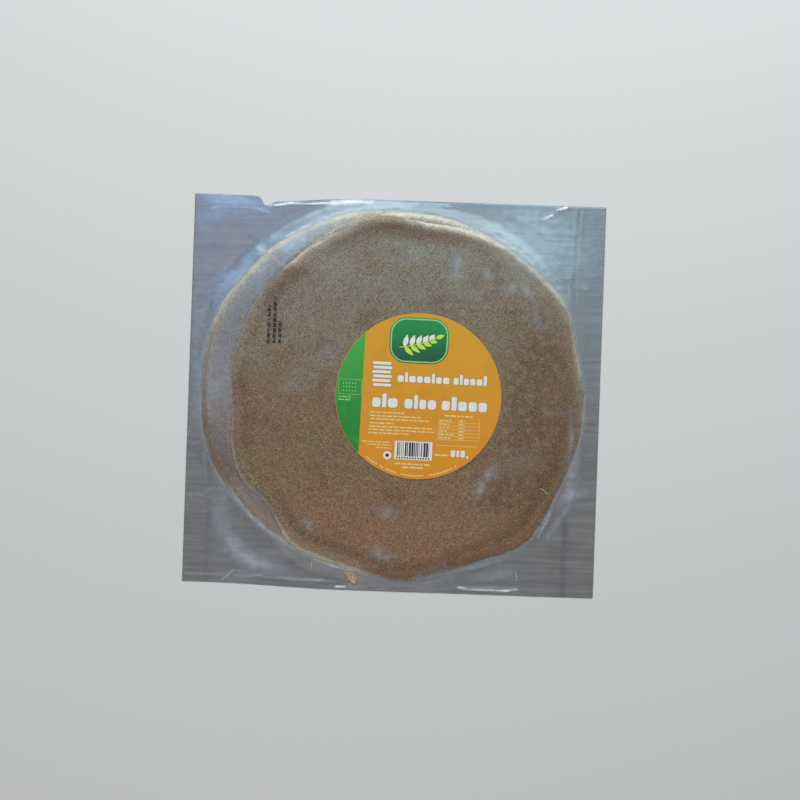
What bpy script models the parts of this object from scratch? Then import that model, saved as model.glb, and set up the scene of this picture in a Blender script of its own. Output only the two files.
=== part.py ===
"""Pack of six thin buckwheat crepes, flat in a clear film bag with a round label.

Units are metres and +Z is up. The pack lies on its back with its origin in the
middle of the bag, on the surface it lies on. +X is the pack's right side and +Y
its top edge.
"""

import math

import bmesh
import bpy

# Driving dimensions
BAG_WIDTH = 0.370
BAG_HEIGHT = 0.352
CREPE_RADIUS = 0.1615
CREPE_THICKNESS = 0.0011
CREPES_IN_A_GROUP = 3
LABEL_RADIUS = 0.0743
LABEL_THICKNESS = 0.0004

# The crepes lie in two groups of three, the upper group slid to the right
UPPER_CENTRE = (0.012, -0.001)
LOWER_CENTRE = (-0.012, 0.003)
LABEL_CENTRE = (0.0218, 0.0005)

# Film: both sheets and the air between them, where no crepe lies
FILM_THICKNESS = 0.0008
LABEL_GAP = 0.0003
LABEL_MARGIN = 0.002

# How far the film takes to come down at an edge, and how far from the lower group's
# rim the upper crepes begin and end their droop over it
EDGE_DROP = 0.006
DROOP_INSIDE = 0.008
DROOP_OUTSIDE = 0.017
TENT_HEIGHT = 0.0012
TENT_LENGTH = 0.010

# Bulges and flats of each group's rim: degrees anticlockwise from +X, and metres out
UPPER_RIM = (
    (-155, 0.0045),
    (-140, -0.0034),
    (-127, 0.0055),
    (-108, 0.0010),
    (-88, 0.0030),
    (-68, -0.0032),
    (-48, 0.0055),
    (-28, -0.0030),
    (-10, -0.0030),
    (16, -0.0042),
    (32, 0.0035),
    (58, 0.0008),
    (84, -0.0035),
    (104, 0.0040),
    (114, -0.0005),
    (133, -0.0010),
    (150, 0.0010),
    (160, -0.0015),
    (173, 0.0000),
    (185, -0.0032),
)
LOWER_RIM = (
    (-156, 0.0018),
    (-140, 0.0000),
    (-121, -0.0012),
    (-106, 0.0000),
    (-60, 0.0010),
    (0, -0.0020),
    (55, 0.0020),
    (97, 0.0036),
    (118, 0.0015),
    (130, 0.0022),
    (140, 0.0010),
    (153, 0.0026),
    (180, 0.0000),
)

# Soft folds that cross the corners, and the turned-up hem along the bottom edge
FOLD_OFFSET = 0.030
FOLD_WIDTH = 0.008
FOLD_HEIGHT = 0.0016
HEM_WIDTH = 0.0065
RIDGE_WIDTH = 0.0022
RIDGE_HEIGHT = 0.0014

# The top edge has a notch near its left end and is drawn in beside it, easing out to the right
NOTCH_X = -0.121
NOTCH_SIDE = 0.006
NOTCH_DEPTH = 0.0035
DRAWN_IN_LENGTH = 0.085
DRAWN_IN = 0.005

# The bottom edge lifts towards its left corner
LIFT_START_X = -0.040
LIFT_LENGTH = 0.120
LIFT = 0.003

# Mesh
SEGMENTS = 144
LABEL_SEGMENTS = 96
CREPE_RINGS = (0.3, 0.5, 0.7)
EDGE_RINGS = (-0.012, -0.007, -0.004, -0.001, 0.002)
STEP_RINGS = (0.2, 0.5, 0.8, 1.0)
STEP_SPACING = 0.0012
MARGIN_RINGS = (0.12, 0.26, 0.42, 0.58, 0.74, 0.88, 0.96)
REACH_STEPS = 30
LEVEL = 1e-9

GROUP_HEIGHT = CREPES_IN_A_GROUP * CREPE_THICKNESS
STACK_TOP = FILM_THICKNESS + 2 * GROUP_HEIGHT


def clear_scene():
    for obj in list(bpy.data.objects):
        bpy.data.objects.remove(obj, do_unlink=True)


def make_material(name, color, roughness):
    material = bpy.data.materials.new(name)
    material.use_nodes = True
    shader = material.node_tree.nodes["Principled BSDF"]
    shader.inputs["Base Color"].default_value = (*color, 1.0)
    shader.inputs["Roughness"].default_value = roughness
    shader.inputs["Metallic"].default_value = 0.0
    return material


def smooth_step(low, high, value):
    """0 below low, 1 above high and a soft S between them."""
    share = min(1.0, max(0.0, (value - low) / (high - low)))
    return share * share * (3.0 - 2.0 * share)


def hump(offset, width):
    """A soft ridge, 1 at its crest."""
    return math.exp(-((offset / width) ** 2))


def rim_bulge(angle, rim):
    """How far a rim stands out at an angle, eased from each listed place to the next."""
    turn = round(math.degrees(angle), 6)
    for (start, low), (end, high) in zip(rim, rim[1:] + rim[:1]):
        span = (end - start) % 360
        along = (turn - start) % 360
        if along <= span:
            return low + (high - low) * smooth_step(0.0, 1.0, along / span)


def depth_inside(x, y, centre, rim):
    """How far a point lies inside a group's rim, negative outside it."""
    across, along = x - centre[0], y - centre[1]
    return CREPE_RADIUS + rim_bulge(math.atan2(along, across), rim) - math.hypot(across, along)


def upper_depth(x, y):
    return depth_inside(x, y, UPPER_CENTRE, UPPER_RIM)


def lower_depth(x, y):
    return depth_inside(x, y, LOWER_CENTRE, LOWER_RIM)


def stack_depth(x, y):
    return max(upper_depth(x, y), lower_depth(x, y))


def top_edge_y(x):
    """Where the bag's top edge runs: notched, drawn in beside the notch, and easing out to the right."""
    notch = NOTCH_DEPTH * hump(x - NOTCH_X, NOTCH_SIDE)
    drawn_in = smooth_step(-NOTCH_SIDE, 0.0, x - NOTCH_X) * smooth_step(-DRAWN_IN_LENGTH, 0.0, NOTCH_X - x)
    return BAG_HEIGHT / 2 - DRAWN_IN * drawn_in - notch


def bottom_edge_y(x):
    """Where the bag's bottom edge runs: straight, and lifting towards the left corner."""
    return LIFT * smooth_step(0.0, LIFT_LENGTH, LIFT_START_X - x) - BAG_HEIGHT / 2


def bag_reach(angle):
    """Distance from the label's centre to the bag's edge."""
    x0, y0 = LABEL_CENTRE
    dx, dy = math.cos(angle), math.sin(angle)
    side_x = math.copysign(BAG_WIDTH / 2, dx)
    to_side = (side_x - x0) / dx if abs(dx) > LEVEL else math.inf
    if abs(dy) < LEVEL:
        return to_side
    edge_y = top_edge_y if dy > 0 else bottom_edge_y
    to_end = (math.copysign(BAG_HEIGHT / 2, dy) - y0) / dy
    edge_x = x0 + min(to_side, to_end) * dx
    return min(to_side, (edge_y(edge_x) - y0) / dy)


def rim_reach(angle, depth):
    """Distance from the label's centre to where a depth function passes zero."""
    near, far = 0.0, BAG_WIDTH
    for _ in range(REACH_STEPS):
        middle = (near + far) / 2
        x = LABEL_CENTRE[0] + middle * math.cos(angle)
        y = LABEL_CENTRE[1] + middle * math.sin(angle)
        if depth(x, y) > 0:
            near = middle
        else:
            far = middle
    return near


def corner_share(x, y):
    """1 along the bag's diagonals, 0 beside the middle of each side."""
    return math.sin(2.0 * math.atan2(y, x)) ** 2


def bag_top(x, y):
    """Height of the film's upper sheet."""
    upper_cover = smooth_step(-EDGE_DROP / 2, EDGE_DROP, upper_depth(x, y))
    covered = smooth_step(-CREPE_RADIUS / 2, CREPE_RADIUS / 2, x - LOWER_CENTRE[0])
    drop_from = EDGE_DROP + (DROOP_INSIDE - EDGE_DROP) * covered
    drop_to = EDGE_DROP / 2 + (DROOP_OUTSIDE - EDGE_DROP / 2) * covered
    lower_cover = smooth_step(-drop_to, drop_from, lower_depth(x, y))
    height = FILM_THICKNESS + GROUP_HEIGHT * (upper_cover + lower_cover)
    outside = -stack_depth(x, y)
    if outside <= 0:
        return height
    above_bottom = y - bottom_edge_y(x)
    from_edge = min(BAG_WIDTH / 2 - abs(x), top_edge_y(x) - y, above_bottom)
    free = smooth_step(0.0, TENT_LENGTH, from_edge)
    tent = TENT_HEIGHT * math.exp(-outside / TENT_LENGTH) * smooth_step(0.0, EDGE_DROP, outside)
    fold = FOLD_HEIGHT * hump(outside - FOLD_OFFSET, FOLD_WIDTH) * corner_share(x, y)
    ridge = RIDGE_HEIGHT * hump(above_bottom - HEM_WIDTH, RIDGE_WIDTH)
    return height + (tent + fold) * free + ridge


def ring_reaches(angle):
    """Distances of the loft's rings from the label's centre, along one angle."""
    label = LABEL_RADIUS + LABEL_MARGIN
    upper = rim_reach(angle, upper_depth)
    union = rim_reach(angle, stack_depth)
    edge = bag_reach(angle)
    reaches = [label]
    reaches += [label + share * (upper - label) for share in CREPE_RINGS]
    reaches += [upper + offset for offset in EDGE_RINGS]
    foot = reaches[-1]
    for number, share in enumerate(STEP_RINGS, 1):
        reaches.append(foot + number * STEP_SPACING / len(STEP_RINGS) + share * (union - upper))
    foot = reaches[-1]
    reaches += [foot + share * (edge - foot) for share in MARGIN_RINGS]
    reaches.append(edge)
    return reaches


def ring_angles():
    """Even angles about the label's centre, with one on each corner of the bag."""
    angles = [math.tau * number / SEGMENTS for number in range(SEGMENTS)]
    for corner_x in (-BAG_WIDTH / 2, BAG_WIDTH / 2):
        for edge_y in (bottom_edge_y, top_edge_y):
            across = corner_x - LABEL_CENTRE[0]
            along = edge_y(corner_x) - LABEL_CENTRE[1]
            corner = math.atan2(along, across) % math.tau
            angles[round(corner / math.tau * SEGMENTS) % SEGMENTS] = corner
    return angles


def bridge(bm, inner, outer, material_index):
    """Joins two rings of vertices with a band of quads that faces up or out."""
    for number, corner in enumerate(inner):
        following = (number + 1) % len(inner)
        face = bm.faces.new((corner, outer[number], outer[following], inner[following]))
        face.material_index = material_index
        face.smooth = True


def object_from(bm, name, collection, materials):
    mesh = bpy.data.meshes.new(name)
    bm.to_mesh(mesh)
    bm.free()
    for material in materials:
        mesh.materials.append(material)
    obj = bpy.data.objects.new(name, mesh)
    collection.objects.link(obj)
    return obj


def make_film_bag(collection, film, crepe):
    """Loft from the flat under the label, over the crepes' edges, to the bag's edge."""
    bm = bmesh.new()
    angles = ring_angles()
    reaches = [ring_reaches(angle) for angle in angles]
    rings = []
    for level in range(len(reaches[0])):
        ring = []
        for angle, reach in zip(angles, reaches):
            x = LABEL_CENTRE[0] + reach[level] * math.cos(angle)
            y = LABEL_CENTRE[1] + reach[level] * math.sin(angle)
            ring.append(bm.verts.new((x, y, bag_top(x, y))))
        rings.append(ring)
    centre = bm.verts.new((*LABEL_CENTRE, STACK_TOP))
    for number, corner in enumerate(rings[0]):
        face = bm.faces.new((centre, corner, rings[0][(number + 1) % SEGMENTS]))
        face.material_index = 1
    crepe_bands = len(CREPE_RINGS) + len(EDGE_RINGS) + len(STEP_RINGS)
    for level in range(len(rings) - 1):
        bridge(bm, rings[level], rings[level + 1], 1 if level < crepe_bands else 0)
    bottom = [bm.verts.new((corner.co.x, corner.co.y, 0.0)) for corner in rings[-1]]
    bridge(bm, rings[-1], bottom, 0)
    bm.faces.new(bottom[::-1])
    obj = object_from(bm, "film_bag", collection, (film, crepe))
    obj.data.set_sharp_from_angle(angle=math.radians(50))
    return obj


def make_label(collection, paper):
    """Round label on the film, a flat disc."""
    bm = bmesh.new()
    bmesh.ops.create_cone(
        bm,
        cap_ends=True,
        segments=LABEL_SEGMENTS,
        radius1=LABEL_RADIUS,
        radius2=LABEL_RADIUS,
        depth=LABEL_THICKNESS,
    )
    obj = object_from(bm, "label", collection, (paper,))
    obj.location = (*LABEL_CENTRE, STACK_TOP + LABEL_GAP + LABEL_THICKNESS / 2)
    obj.data.shade_smooth()
    obj.data.set_sharp_from_angle(angle=math.radians(30))
    return obj


def main():
    clear_scene()
    collection = bpy.data.collections.new("crepe_pack")
    bpy.context.scene.collection.children.link(collection)
    film = make_material("clear_film", (0.30, 0.34, 0.38), 0.18)
    crepe = make_material("buckwheat_crepe", (0.175, 0.125, 0.085), 0.55)
    paper = make_material("orange_label", (0.66, 0.27, 0.012), 0.45)
    make_film_bag(collection, film, crepe)
    make_label(collection, paper)


main()
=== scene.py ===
# %% [markdown]
# # A pack of thin buckwheat crepes
#
# Six thin brown crepes lie flat in a clear film bag with a round paper label on top.
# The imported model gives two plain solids: the bag with all that is in it, and the
# label. This lesson dresses them: it fits six real crepes, the film round them, the
# label with its print and a few crumbs into the space that the solids hold.

# %% Load the frame
import math
import random

import bmesh
import bpy
import mathutils
import numpy as np
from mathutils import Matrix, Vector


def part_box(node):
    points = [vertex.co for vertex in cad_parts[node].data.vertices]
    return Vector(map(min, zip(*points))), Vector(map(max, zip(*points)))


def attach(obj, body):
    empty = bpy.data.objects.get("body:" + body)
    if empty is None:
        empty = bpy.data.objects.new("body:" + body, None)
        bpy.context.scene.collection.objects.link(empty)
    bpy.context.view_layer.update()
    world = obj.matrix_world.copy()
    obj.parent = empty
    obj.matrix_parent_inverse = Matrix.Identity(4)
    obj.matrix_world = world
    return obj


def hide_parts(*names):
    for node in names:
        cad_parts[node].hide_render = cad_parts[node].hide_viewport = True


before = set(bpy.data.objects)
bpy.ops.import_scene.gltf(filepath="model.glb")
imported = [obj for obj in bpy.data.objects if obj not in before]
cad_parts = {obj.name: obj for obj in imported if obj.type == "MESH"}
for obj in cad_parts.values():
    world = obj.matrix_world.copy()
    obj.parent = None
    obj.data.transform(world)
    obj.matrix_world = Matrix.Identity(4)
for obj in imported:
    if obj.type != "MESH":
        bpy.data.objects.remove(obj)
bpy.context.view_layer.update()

MM = 0.001
print("nodes:", sorted(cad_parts))

# %% [markdown]
# ## Sizes
#
# The bag's box and the label's box come from the frame. The rims of the crepes and
# the bag's drawn-in edges repeat the named values that shaped the solids, because a
# dressed piece has to lie where its solid lies. A rim is a circle with a few bulges
# and flats, each given by its angle and how far it stands out.

# %% Sizes from the frame and of the crepes
bag_low, bag_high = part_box("film_bag")
label_low, label_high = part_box("label")
HALF_WIDTH = (bag_high.x - bag_low.x) / 2
HALF_HEIGHT = (bag_high.y - bag_low.y) / 2
LABEL_X = (label_low.x + label_high.x) / 2
LABEL_Y = (label_low.y + label_high.y) / 2
LABEL_RADIUS = (label_high.x - label_low.x) / 2

CREPE_RADIUS = 161.5 * MM
CREPE_PITCH = 1.2 * MM
CREPE_THICKNESS = 1.1 * MM
CREPES_IN_A_GROUP = 3
FLOOR_GAP = 0.2 * MM
UPPER_CENTRE = (12.0 * MM, -1.0 * MM)
LOWER_CENTRE = (-12.0 * MM, 3.0 * MM)

UPPER_RIM = (
    (-155, 4.5), (-140, -3.4), (-127, 5.5), (-108, 1.0), (-88, 3.0), (-68, -3.2), (-48, 5.5), (-28, -3.0),
    (-10, -3.0), (16, -4.2), (32, 3.5), (58, 0.8), (84, -3.5), (104, 4.0), (114, -0.5), (133, -1.0),
    (150, 1.0), (160, -1.5), (173, 0.0), (185, -3.2),
)
LOWER_RIM = (
    (-156, 1.8), (-140, 0.0), (-121, -1.2), (-106, 0.0), (-60, 1.0), (0, -2.0), (55, 2.0), (97, 3.6),
    (118, 1.5), (130, 2.2), (140, 1.0), (153, 2.6), (180, 0.0),
)
print(f"bag {2 * HALF_WIDTH / MM:.0f} x {2 * HALF_HEIGHT / MM:.0f} mm, label {2 * LABEL_RADIUS / MM:.1f} mm")

# %% [markdown]
# ## Small tools for shapes
#
# Heights are worked out for whole arrays of points at once with numpy. Four tools do
# most of it: a soft step, a soft ridge, a turn about the middle, and smooth noise. The
# noise is gradient noise: each corner of a grid gets a random direction, and a point
# blends what its four corners say. Its seed is fixed, so each run gives the same pack.

# %% Soft step, ridge, turn and noise
NOISE_GRID = 64


def soft_step(low, high, value):
    """0 below low, 1 above high and a soft S between them."""
    share = np.clip((value - low) / (high - low), 0.0, 1.0)
    return share * share * (3.0 - 2.0 * share)


def ridge(offset, width):
    """A soft ridge, 1 at its crest."""
    return np.exp(-((offset / width) ** 2))


def turned(x, y, turn):
    """Turns points about the middle, anticlockwise."""
    cosine, sine = math.cos(turn), math.sin(turn)
    return x * cosine - y * sine, x * sine + y * cosine


def soft_noise(x, y, size, seed):
    """Smooth noise from about -1 to 1, with bumps about size across."""
    turns = np.random.default_rng(seed).uniform(0.0, math.tau, (NOISE_GRID, NOISE_GRID))
    u, v = x / size, y / size
    column, row = np.floor(u).astype(int), np.floor(v).astype(int)
    across, along = u - column, v - row

    def corner(right, up):
        turn = turns[(column + right) % NOISE_GRID, (row + up) % NOISE_GRID]
        return np.cos(turn) * (across - right) + np.sin(turn) * (along - up)

    ease_across = soft_step(0.0, 1.0, across)
    ease_along = soft_step(0.0, 1.0, along)
    low = corner(0, 0) + (corner(1, 0) - corner(0, 0)) * ease_across
    high = corner(0, 1) + (corner(1, 1) - corner(0, 1)) * ease_across
    return 1.5 * (low + (high - low) * ease_along)


line = np.linspace(0.0, 1.0, 500)
sample = soft_noise(line, line * 0.3, 0.05, 1)
print(f"noise runs from {sample.min():.2f} to {sample.max():.2f}")

# %% Rims and how deep a point lies inside them


def around(angle, places):
    """A value that changes round a circle, eased from each listed place to the next."""
    starts = np.radians([place for place, _ in places])
    starts = np.append(starts, starts[0] + math.tau)
    values = np.array([value for _, value in places])
    values = np.append(values, values[0])
    turn = (angle - starts[0]) % math.tau + starts[0]
    index = np.clip(np.searchsorted(starts, turn, side="right") - 1, 0, len(places) - 1)
    share = soft_step(starts[index], starts[index + 1], turn)
    return values[index] + (values[index + 1] - values[index]) * share


def rim_bulge(angle, rim):
    """How far a rim stands out at an angle."""
    return around(angle, rim) * MM


def depth_inside(x, y, centre, rim):
    """How far a point lies inside a group's rim, negative outside it."""
    across, along = x - centre[0], y - centre[1]
    angle = np.arctan2(along, across)
    return CREPE_RADIUS + rim_bulge(angle, rim) - np.hypot(across, along)


reach = UPPER_CENTRE[0] + CREPE_RADIUS + rim_bulge(0.0, UPPER_RIM)
print("upper group reaches x =", round(reach / MM, 1), "mm")

# %% [markdown]
# ## The lie of the stack
#
# The crepes lie in two groups of three. The upper group is slid to the right, so on
# the left the lower group shows as a step, and on the right the upper three hang
# over the lower ones' rim and droop to the surface below. A crepe is limp, so each
# one follows the one beneath: one function gives the height of the ground that a
# crepe lies on, and each crepe adds its level. Under the label the stack is flat.

# %% Ground under each crepe
DROOP_OUTSIDE = 17.0 * MM
DROOP_INSIDE = 8.0 * MM
SWELL = 0.22 * MM
SWELL_SIZE = 42.0 * MM
DIMPLE = 0.10 * MM
DIMPLE_SIZE = 15.0 * MM
LABEL_FLAT = 6.0 * MM
LABEL_EASE = 22.0 * MM


def away_from_label(x, y):
    """0 under the label, easing to 1 a little way outside it."""
    outside = np.hypot(x - LABEL_X, y - LABEL_Y) - LABEL_RADIUS
    return soft_step(LABEL_FLAT, LABEL_EASE, outside)


def swell(x, y):
    """Gentle unevenness that all the crepes share."""
    bumps = SWELL * soft_noise(x, y, SWELL_SIZE, 11) + DIMPLE * soft_noise(x, y, DIMPLE_SIZE, 12)
    return bumps * away_from_label(x, y)


def ground(x, y, level):
    """Height of a crepe's underside. Levels 0 to 2 are the lower group, 3 to 5 the upper."""
    own = level if level < CREPES_IN_A_GROUP else level - CREPES_IN_A_GROUP
    height = FLOOR_GAP + own * CREPE_PITCH
    if level >= CREPES_IN_A_GROUP:
        held = soft_step(-DROOP_OUTSIDE, DROOP_INSIDE, depth_inside(x, y, LOWER_CENTRE, LOWER_RIM))
        height = height + CREPES_IN_A_GROUP * CREPE_PITCH * held
    return height + swell(x, y) * soft_step(-1.0, 2.0, level)


print("stack is", round(2 * CREPES_IN_A_GROUP * CREPE_PITCH / MM, 1), "mm high")

# %% [markdown]
# ## A crepe
#
# A crepe is a disc about a millimetre thick that thins towards a ragged rim. Pressed
# by the film, the rims of a stack settle together, and a free rim rolls up a little.
# A disc of rings and sectors suits it: the rings crowd where the surface shows and
# stay few where it is covered. Python lays the rings from the rim's formula, and a
# Geometry Nodes tree then presses the pores into the top, because that is the same
# rule on every crepe. Two painted values tell the material where the rim is pale, which
# is dry crepe and also a painted highlight where a rim faces the window light, and where
# it is browner, which is toasting and also painted shade in the hollow inside the far
# rim's roll: both change round the circle, by short lists of angles.

# %% How the rims roll up, their paleness and painted highlight, their toast and painted shade
FLAT = ((0, 0.0), (180, 0.0))
UPPER_ROLL = (
    (-155, 0.6), (-127, 0.7), (-90, 0.2), (-48, 0.3), (0, 0.2), (35, 0.7), (62, 1.5), (82, 2.1),
    (96, 1.7), (108, 1.5), (125, 0.8), (150, 0.7), (180, 0.5),
)
LOWER_ROLL = (
    (-150, 0.5), (-134, 0.0), (95, 0.0), (112, 0.5), (150, 0.6), (190, 0.5),
)
# Pale rims: dry crepe, and a painted highlight where a rim faces the window light, strongest on the far side.
# PEEK_PALE and LOWER_PALE work the same way.
UPPER_PALE = (
    (-155, 0.5), (-140, 0.3), (-128, 0.75), (-106, 0.8), (-92, 0.2), (-48, 0.05), (-20, 0.05), (0, 0.3),
    (12, 0.62), (25, 0.58), (42, 0.92), (62, 1.0), (84, 0.85), (97, 0.42), (110, 0.4), (131, 0.75),
    (137, 0.35), (150, 0.4), (173, 0.38), (190, 0.38),
)
PEEK_PALE = (
    (-155, 0.2), (0, 0.2), (40, 0.8), (66, 1.0), (94, 1.0), (104, 0.6), (116, 0.5), (140, 0.4),
)
LOWER_PALE = (
    (-166, 0.1), (-152, 0.25), (-143, 0.52), (-127, 0.55), (-118, 0.95), (-102, 1.0), (-88, 0.3),
    (40, 0.6), (80, 1.0), (98, 1.0), (108, 0.9), (120, 1.0), (152, 0.78), (165, 0.5), (182, 0.35),
)
# From about 60 to 100 degrees this band is painted shade in the hollow inside the far rim's roll.
UPPER_TOAST_AND_SHADE = (
    (-150, 0.3), (-125, 1.15), (-98, 1.1), (-70, 0.6), (-45, 0.8), (-15, 0.8), (10, 0.4), (25, 0.3),
    (45, 0.45), (62, 0.85), (80, 1.15), (96, 1.15), (112, 0.55), (128, 0.35), (138, 0.9), (152, 0.5),
    (165, 0.3), (176, 0.6), (192, 0.5),
)
LOWER_TOAST = (
    (-156, 1.0), (-146, 0.6), (-120, 0.5), (0, 0.3), (80, 0.4), (98, 0.3), (120, 0.1), (150, 0.5),
    (175, 0.3),
)
print("rolls and colours are listed for", len(UPPER_PALE), "angles")

# %% Patches of colour or haze
PATCH_RAGS = 7.0 * MM


class Patch:
    """A ragged oval place, in millimetres and degrees, for a toasted spot or for haze."""

    def __init__(self, x, y, long, wide, turn, strength):
        self.centre = (x * MM, y * MM)
        self.size = (long * MM, wide * MM)
        self.turn = math.radians(turn)
        self.strength = strength

    def at(self, x, y, ragged=0.8):
        u, v = turned(x - self.centre[0], y - self.centre[1], -self.turn)
        broken = np.clip(1.0 - 0.25 * ragged + ragged * soft_noise(x, y, PATCH_RAGS, 51), 0.0, 1.5)
        return self.strength * np.exp(-((u / self.size[0]) ** 2) - (v / self.size[1]) ** 2) * broken


def patches(*rows):
    return [Patch(*row) for row in rows]


# Toasted patches. The thin one at (25, 159.5) is painted shade in the gap between the peeking crepe and the
# top one.
toast_and_shade_places = patches(
    (92, 105, 7, 4, 0, 0.8), (104, 78, 14, 8, -20, 0.7), (133, 42, 8, 16, 0, 0.6),
    (126, -17, 14, 8, 0, 0.7), (93, -82, 17, 12, 30, 0.9), (75, -71, 8, 3.5, 40, 1.0),
    (-138, 5, 6, 6, 0, 1.1), (-130, -44, 5, 7, 0, 0.7), (-96, 109, 11, 5, 20, 0.8),
    (-84, 108, 9, 6, 0, 0.6), (-96, 42, 12, 7, 60, 0.4), (25, 159.5, 9, 1.3, -8, 1.6),
    (-60, -60, 22, 10, 20, 0.4), (122, -34, 34, 46, 0, 1.05), (128, 34, 26, 34, 0, 1.25),
    (100, -90, 30, 18, 30, 0.7), (-150.5, -65, 20, 3.2, -70, 2.6), (-104, -20, 26, 40, 0, 0.3),
    (129, 76, 3, 8, 10, 1.6), (-20, -156.5, 5, 2.5, -10, 1.2), (-8, -157.5, 4, 2, 0, 1.0),
)
floury_places = patches(
    (-7, -142, 12, 6, 150, 1.4), (1, -105, 12, 5, 10, 1.2), (-12, -101, 5, 3, 0, 0.8),
    (-73, -117, 8, 5, 150, 1.2), (86, -68, 13, 6, 50, 1.0), (79, -84, 10, 5, 60, 1.0),
    (40, -116, 22, 7, 15, 0.4), (115, -56, 20, 10, 20, 0.5), (-60, 34, 16, 8, 20, 0.5),
    (-90, 8, 13, 9, 0, 0.5), (108, 99, 13, 7, -15, 1.2), (79, 111, 7, 6, 0, 0.9),
    (53, 118, 18, 8, 80, 1.1), (64, 92, 7, 5, 0, 0.6), (-97, 133, 12, 6, 45, 1.4),
    (-84, 143, 12, 6, 40, 1.5), (-69, 151, 12, 6, 30, 1.8), (-54, 159, 11, 4, 20, 1.0),
    (-70, 128, 9, 14, -30, 0.4), (20, 130, 30, 11, 5, 0.6),
)
print(len(toast_and_shade_places), "toasted and", len(floury_places), "floury places")

# %% Rim, height and rings of one crepe
RAGGED = 0.45 * MM
RAGGED_SIZE = 5.0 * MM
SCALLOP = 0.8 * MM
SCALLOP_SIZE = 24.0 * MM
RIM_ROUND = 1.4 * MM
RIM_REACH = 7.0 * MM
RIM_THIN = 0.5
ROLL_CREST = 5.0 * MM
ROLL_WIDTH = 4.5 * MM
ROLL_SIZE = 30.0 * MM
ROLL_MEAN, ROLL_VARIES = 0.85, 0.45
ROUNDED = 0.9
INNER_RINGS = 8
EDGE_RINGS = (1.6 * MM, 1.0 * MM, 0.55 * MM, 0.2 * MM, 0.0)


class Crepe:
    """Sizes of one crepe in the stack, and how many sectors and rings draw it."""

    def __init__(self, level, centre, rim, shift, inset, looks, sectors, rings, band):
        self.level = level
        self.centre = (centre[0] + shift[0] * MM, centre[1] + shift[1] * MM)
        self.rim = rim
        self.inset = inset * MM
        self.roll, self.pale, self.toast_and_shade = looks
        self.sectors = sectors
        self.rings = rings
        self.band = band * MM
        self.name = f"crepe_{level + 1}"


def rim_radius(crepe, angle):
    """The crepe's radius at each angle, ragged at its very edge."""
    x, y = CREPE_RADIUS * np.cos(angle), CREPE_RADIUS * np.sin(angle)
    seed = 100 + 10 * crepe.level
    ragged = RAGGED * soft_noise(x, y, RAGGED_SIZE, seed) + SCALLOP * soft_noise(x, y, SCALLOP_SIZE, seed + 1)
    return CREPE_RADIUS + rim_bulge(angle, crepe.rim) - crepe.inset + ragged


def crepe_top(crepe, x, y, from_rim):
    """Height of the crepe's underside and its thickness: thinned, settled and rolled up at the rim."""
    angle = np.arctan2(y - crepe.centre[1], x - crepe.centre[0])
    roll = around(angle, crepe.roll) * MM * ridge(from_rim - ROLL_CREST, ROLL_WIDTH)
    roll = roll * (ROLL_MEAN + ROLL_VARIES * soft_noise(x, y, ROLL_SIZE, 200 + crepe.level))
    near = (1.0 - RIM_THIN) * soft_step(RIM_REACH, 0.0, from_rim)
    own = crepe.level % CREPES_IN_A_GROUP
    short = 1.0 - np.clip(from_rim / RIM_ROUND, 0.0, 1.0)
    rounding = np.sqrt(1.0 - ROUNDED * short * short)
    thickness = CREPE_THICKNESS * (1.0 - near) * rounding
    return ground(x, y, crepe.level) + roll - own * CREPE_PITCH * near, thickness


def ring_depths(crepe):
    """Distances from the rim at which the top's rings lie, from the inside out."""
    inner = np.linspace(CREPE_RADIUS, crepe.band, INNER_RINGS + 1)[1:]
    outer = np.linspace(crepe.band, EDGE_RINGS[0], crepe.rings + 1)[1:-1]
    return np.concatenate([inner, outer, EDGE_RINGS])


print("the outer rings lie", [round(depth / MM, 2) for depth in EDGE_RINGS], "mm from the rim")

# %% Where a crepe is pale or toasted
PALE_NEAR = (2.0 * MM, 6.0 * MM)
PALE_FAR = (8.0 * MM, 18.0 * MM)
PALE_FAR_SHARE = (0.75, 0.38)
FLOUR_ON_CREPE = 0.20
TOAST_IN = 13.0 * MM
TOAST_WIDTH = 7.0 * MM


def pale_and_lit_rim(crepe, angle, from_rim, x, y):
    """1 where the rim is pale: dry crepe, and a painted highlight where it faces the window light. A narrow
    bright strip blends into a wide faint one.
    """
    pale = around(angle, crepe.pale)
    near, far = (
        1.0 - soft_step(0.0, 1.0, from_rim / (least + more * pale)) for least, more in (PALE_NEAR, PALE_FAR)
    )
    far_share = PALE_FAR_SHARE[crepe.level // CREPES_IN_A_GROUP]
    rim = pale * (far_share * far + (1.0 - far_share) * near)
    return rim + FLOUR_ON_CREPE * sum(place.at(x, y) for place in floury_places)


def toastedness_and_shade(crepe, angle, from_rim, x, y):
    """1 where the hot plate browned the crepe more: some way inside the rim, and in places. Inside the far
    rim's roll the band is painted shade.
    """
    inside = around(angle, crepe.toast_and_shade) * ridge(from_rim - TOAST_IN, TOAST_WIDTH)
    return inside + sum(place.at(x, y) for place in toast_and_shade_places)


print("toasted most", round(TOAST_IN / MM), "mm inside the rim")

# %% Disc of rings, and the six crepes
BOTTOM_RINGS = 10


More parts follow.
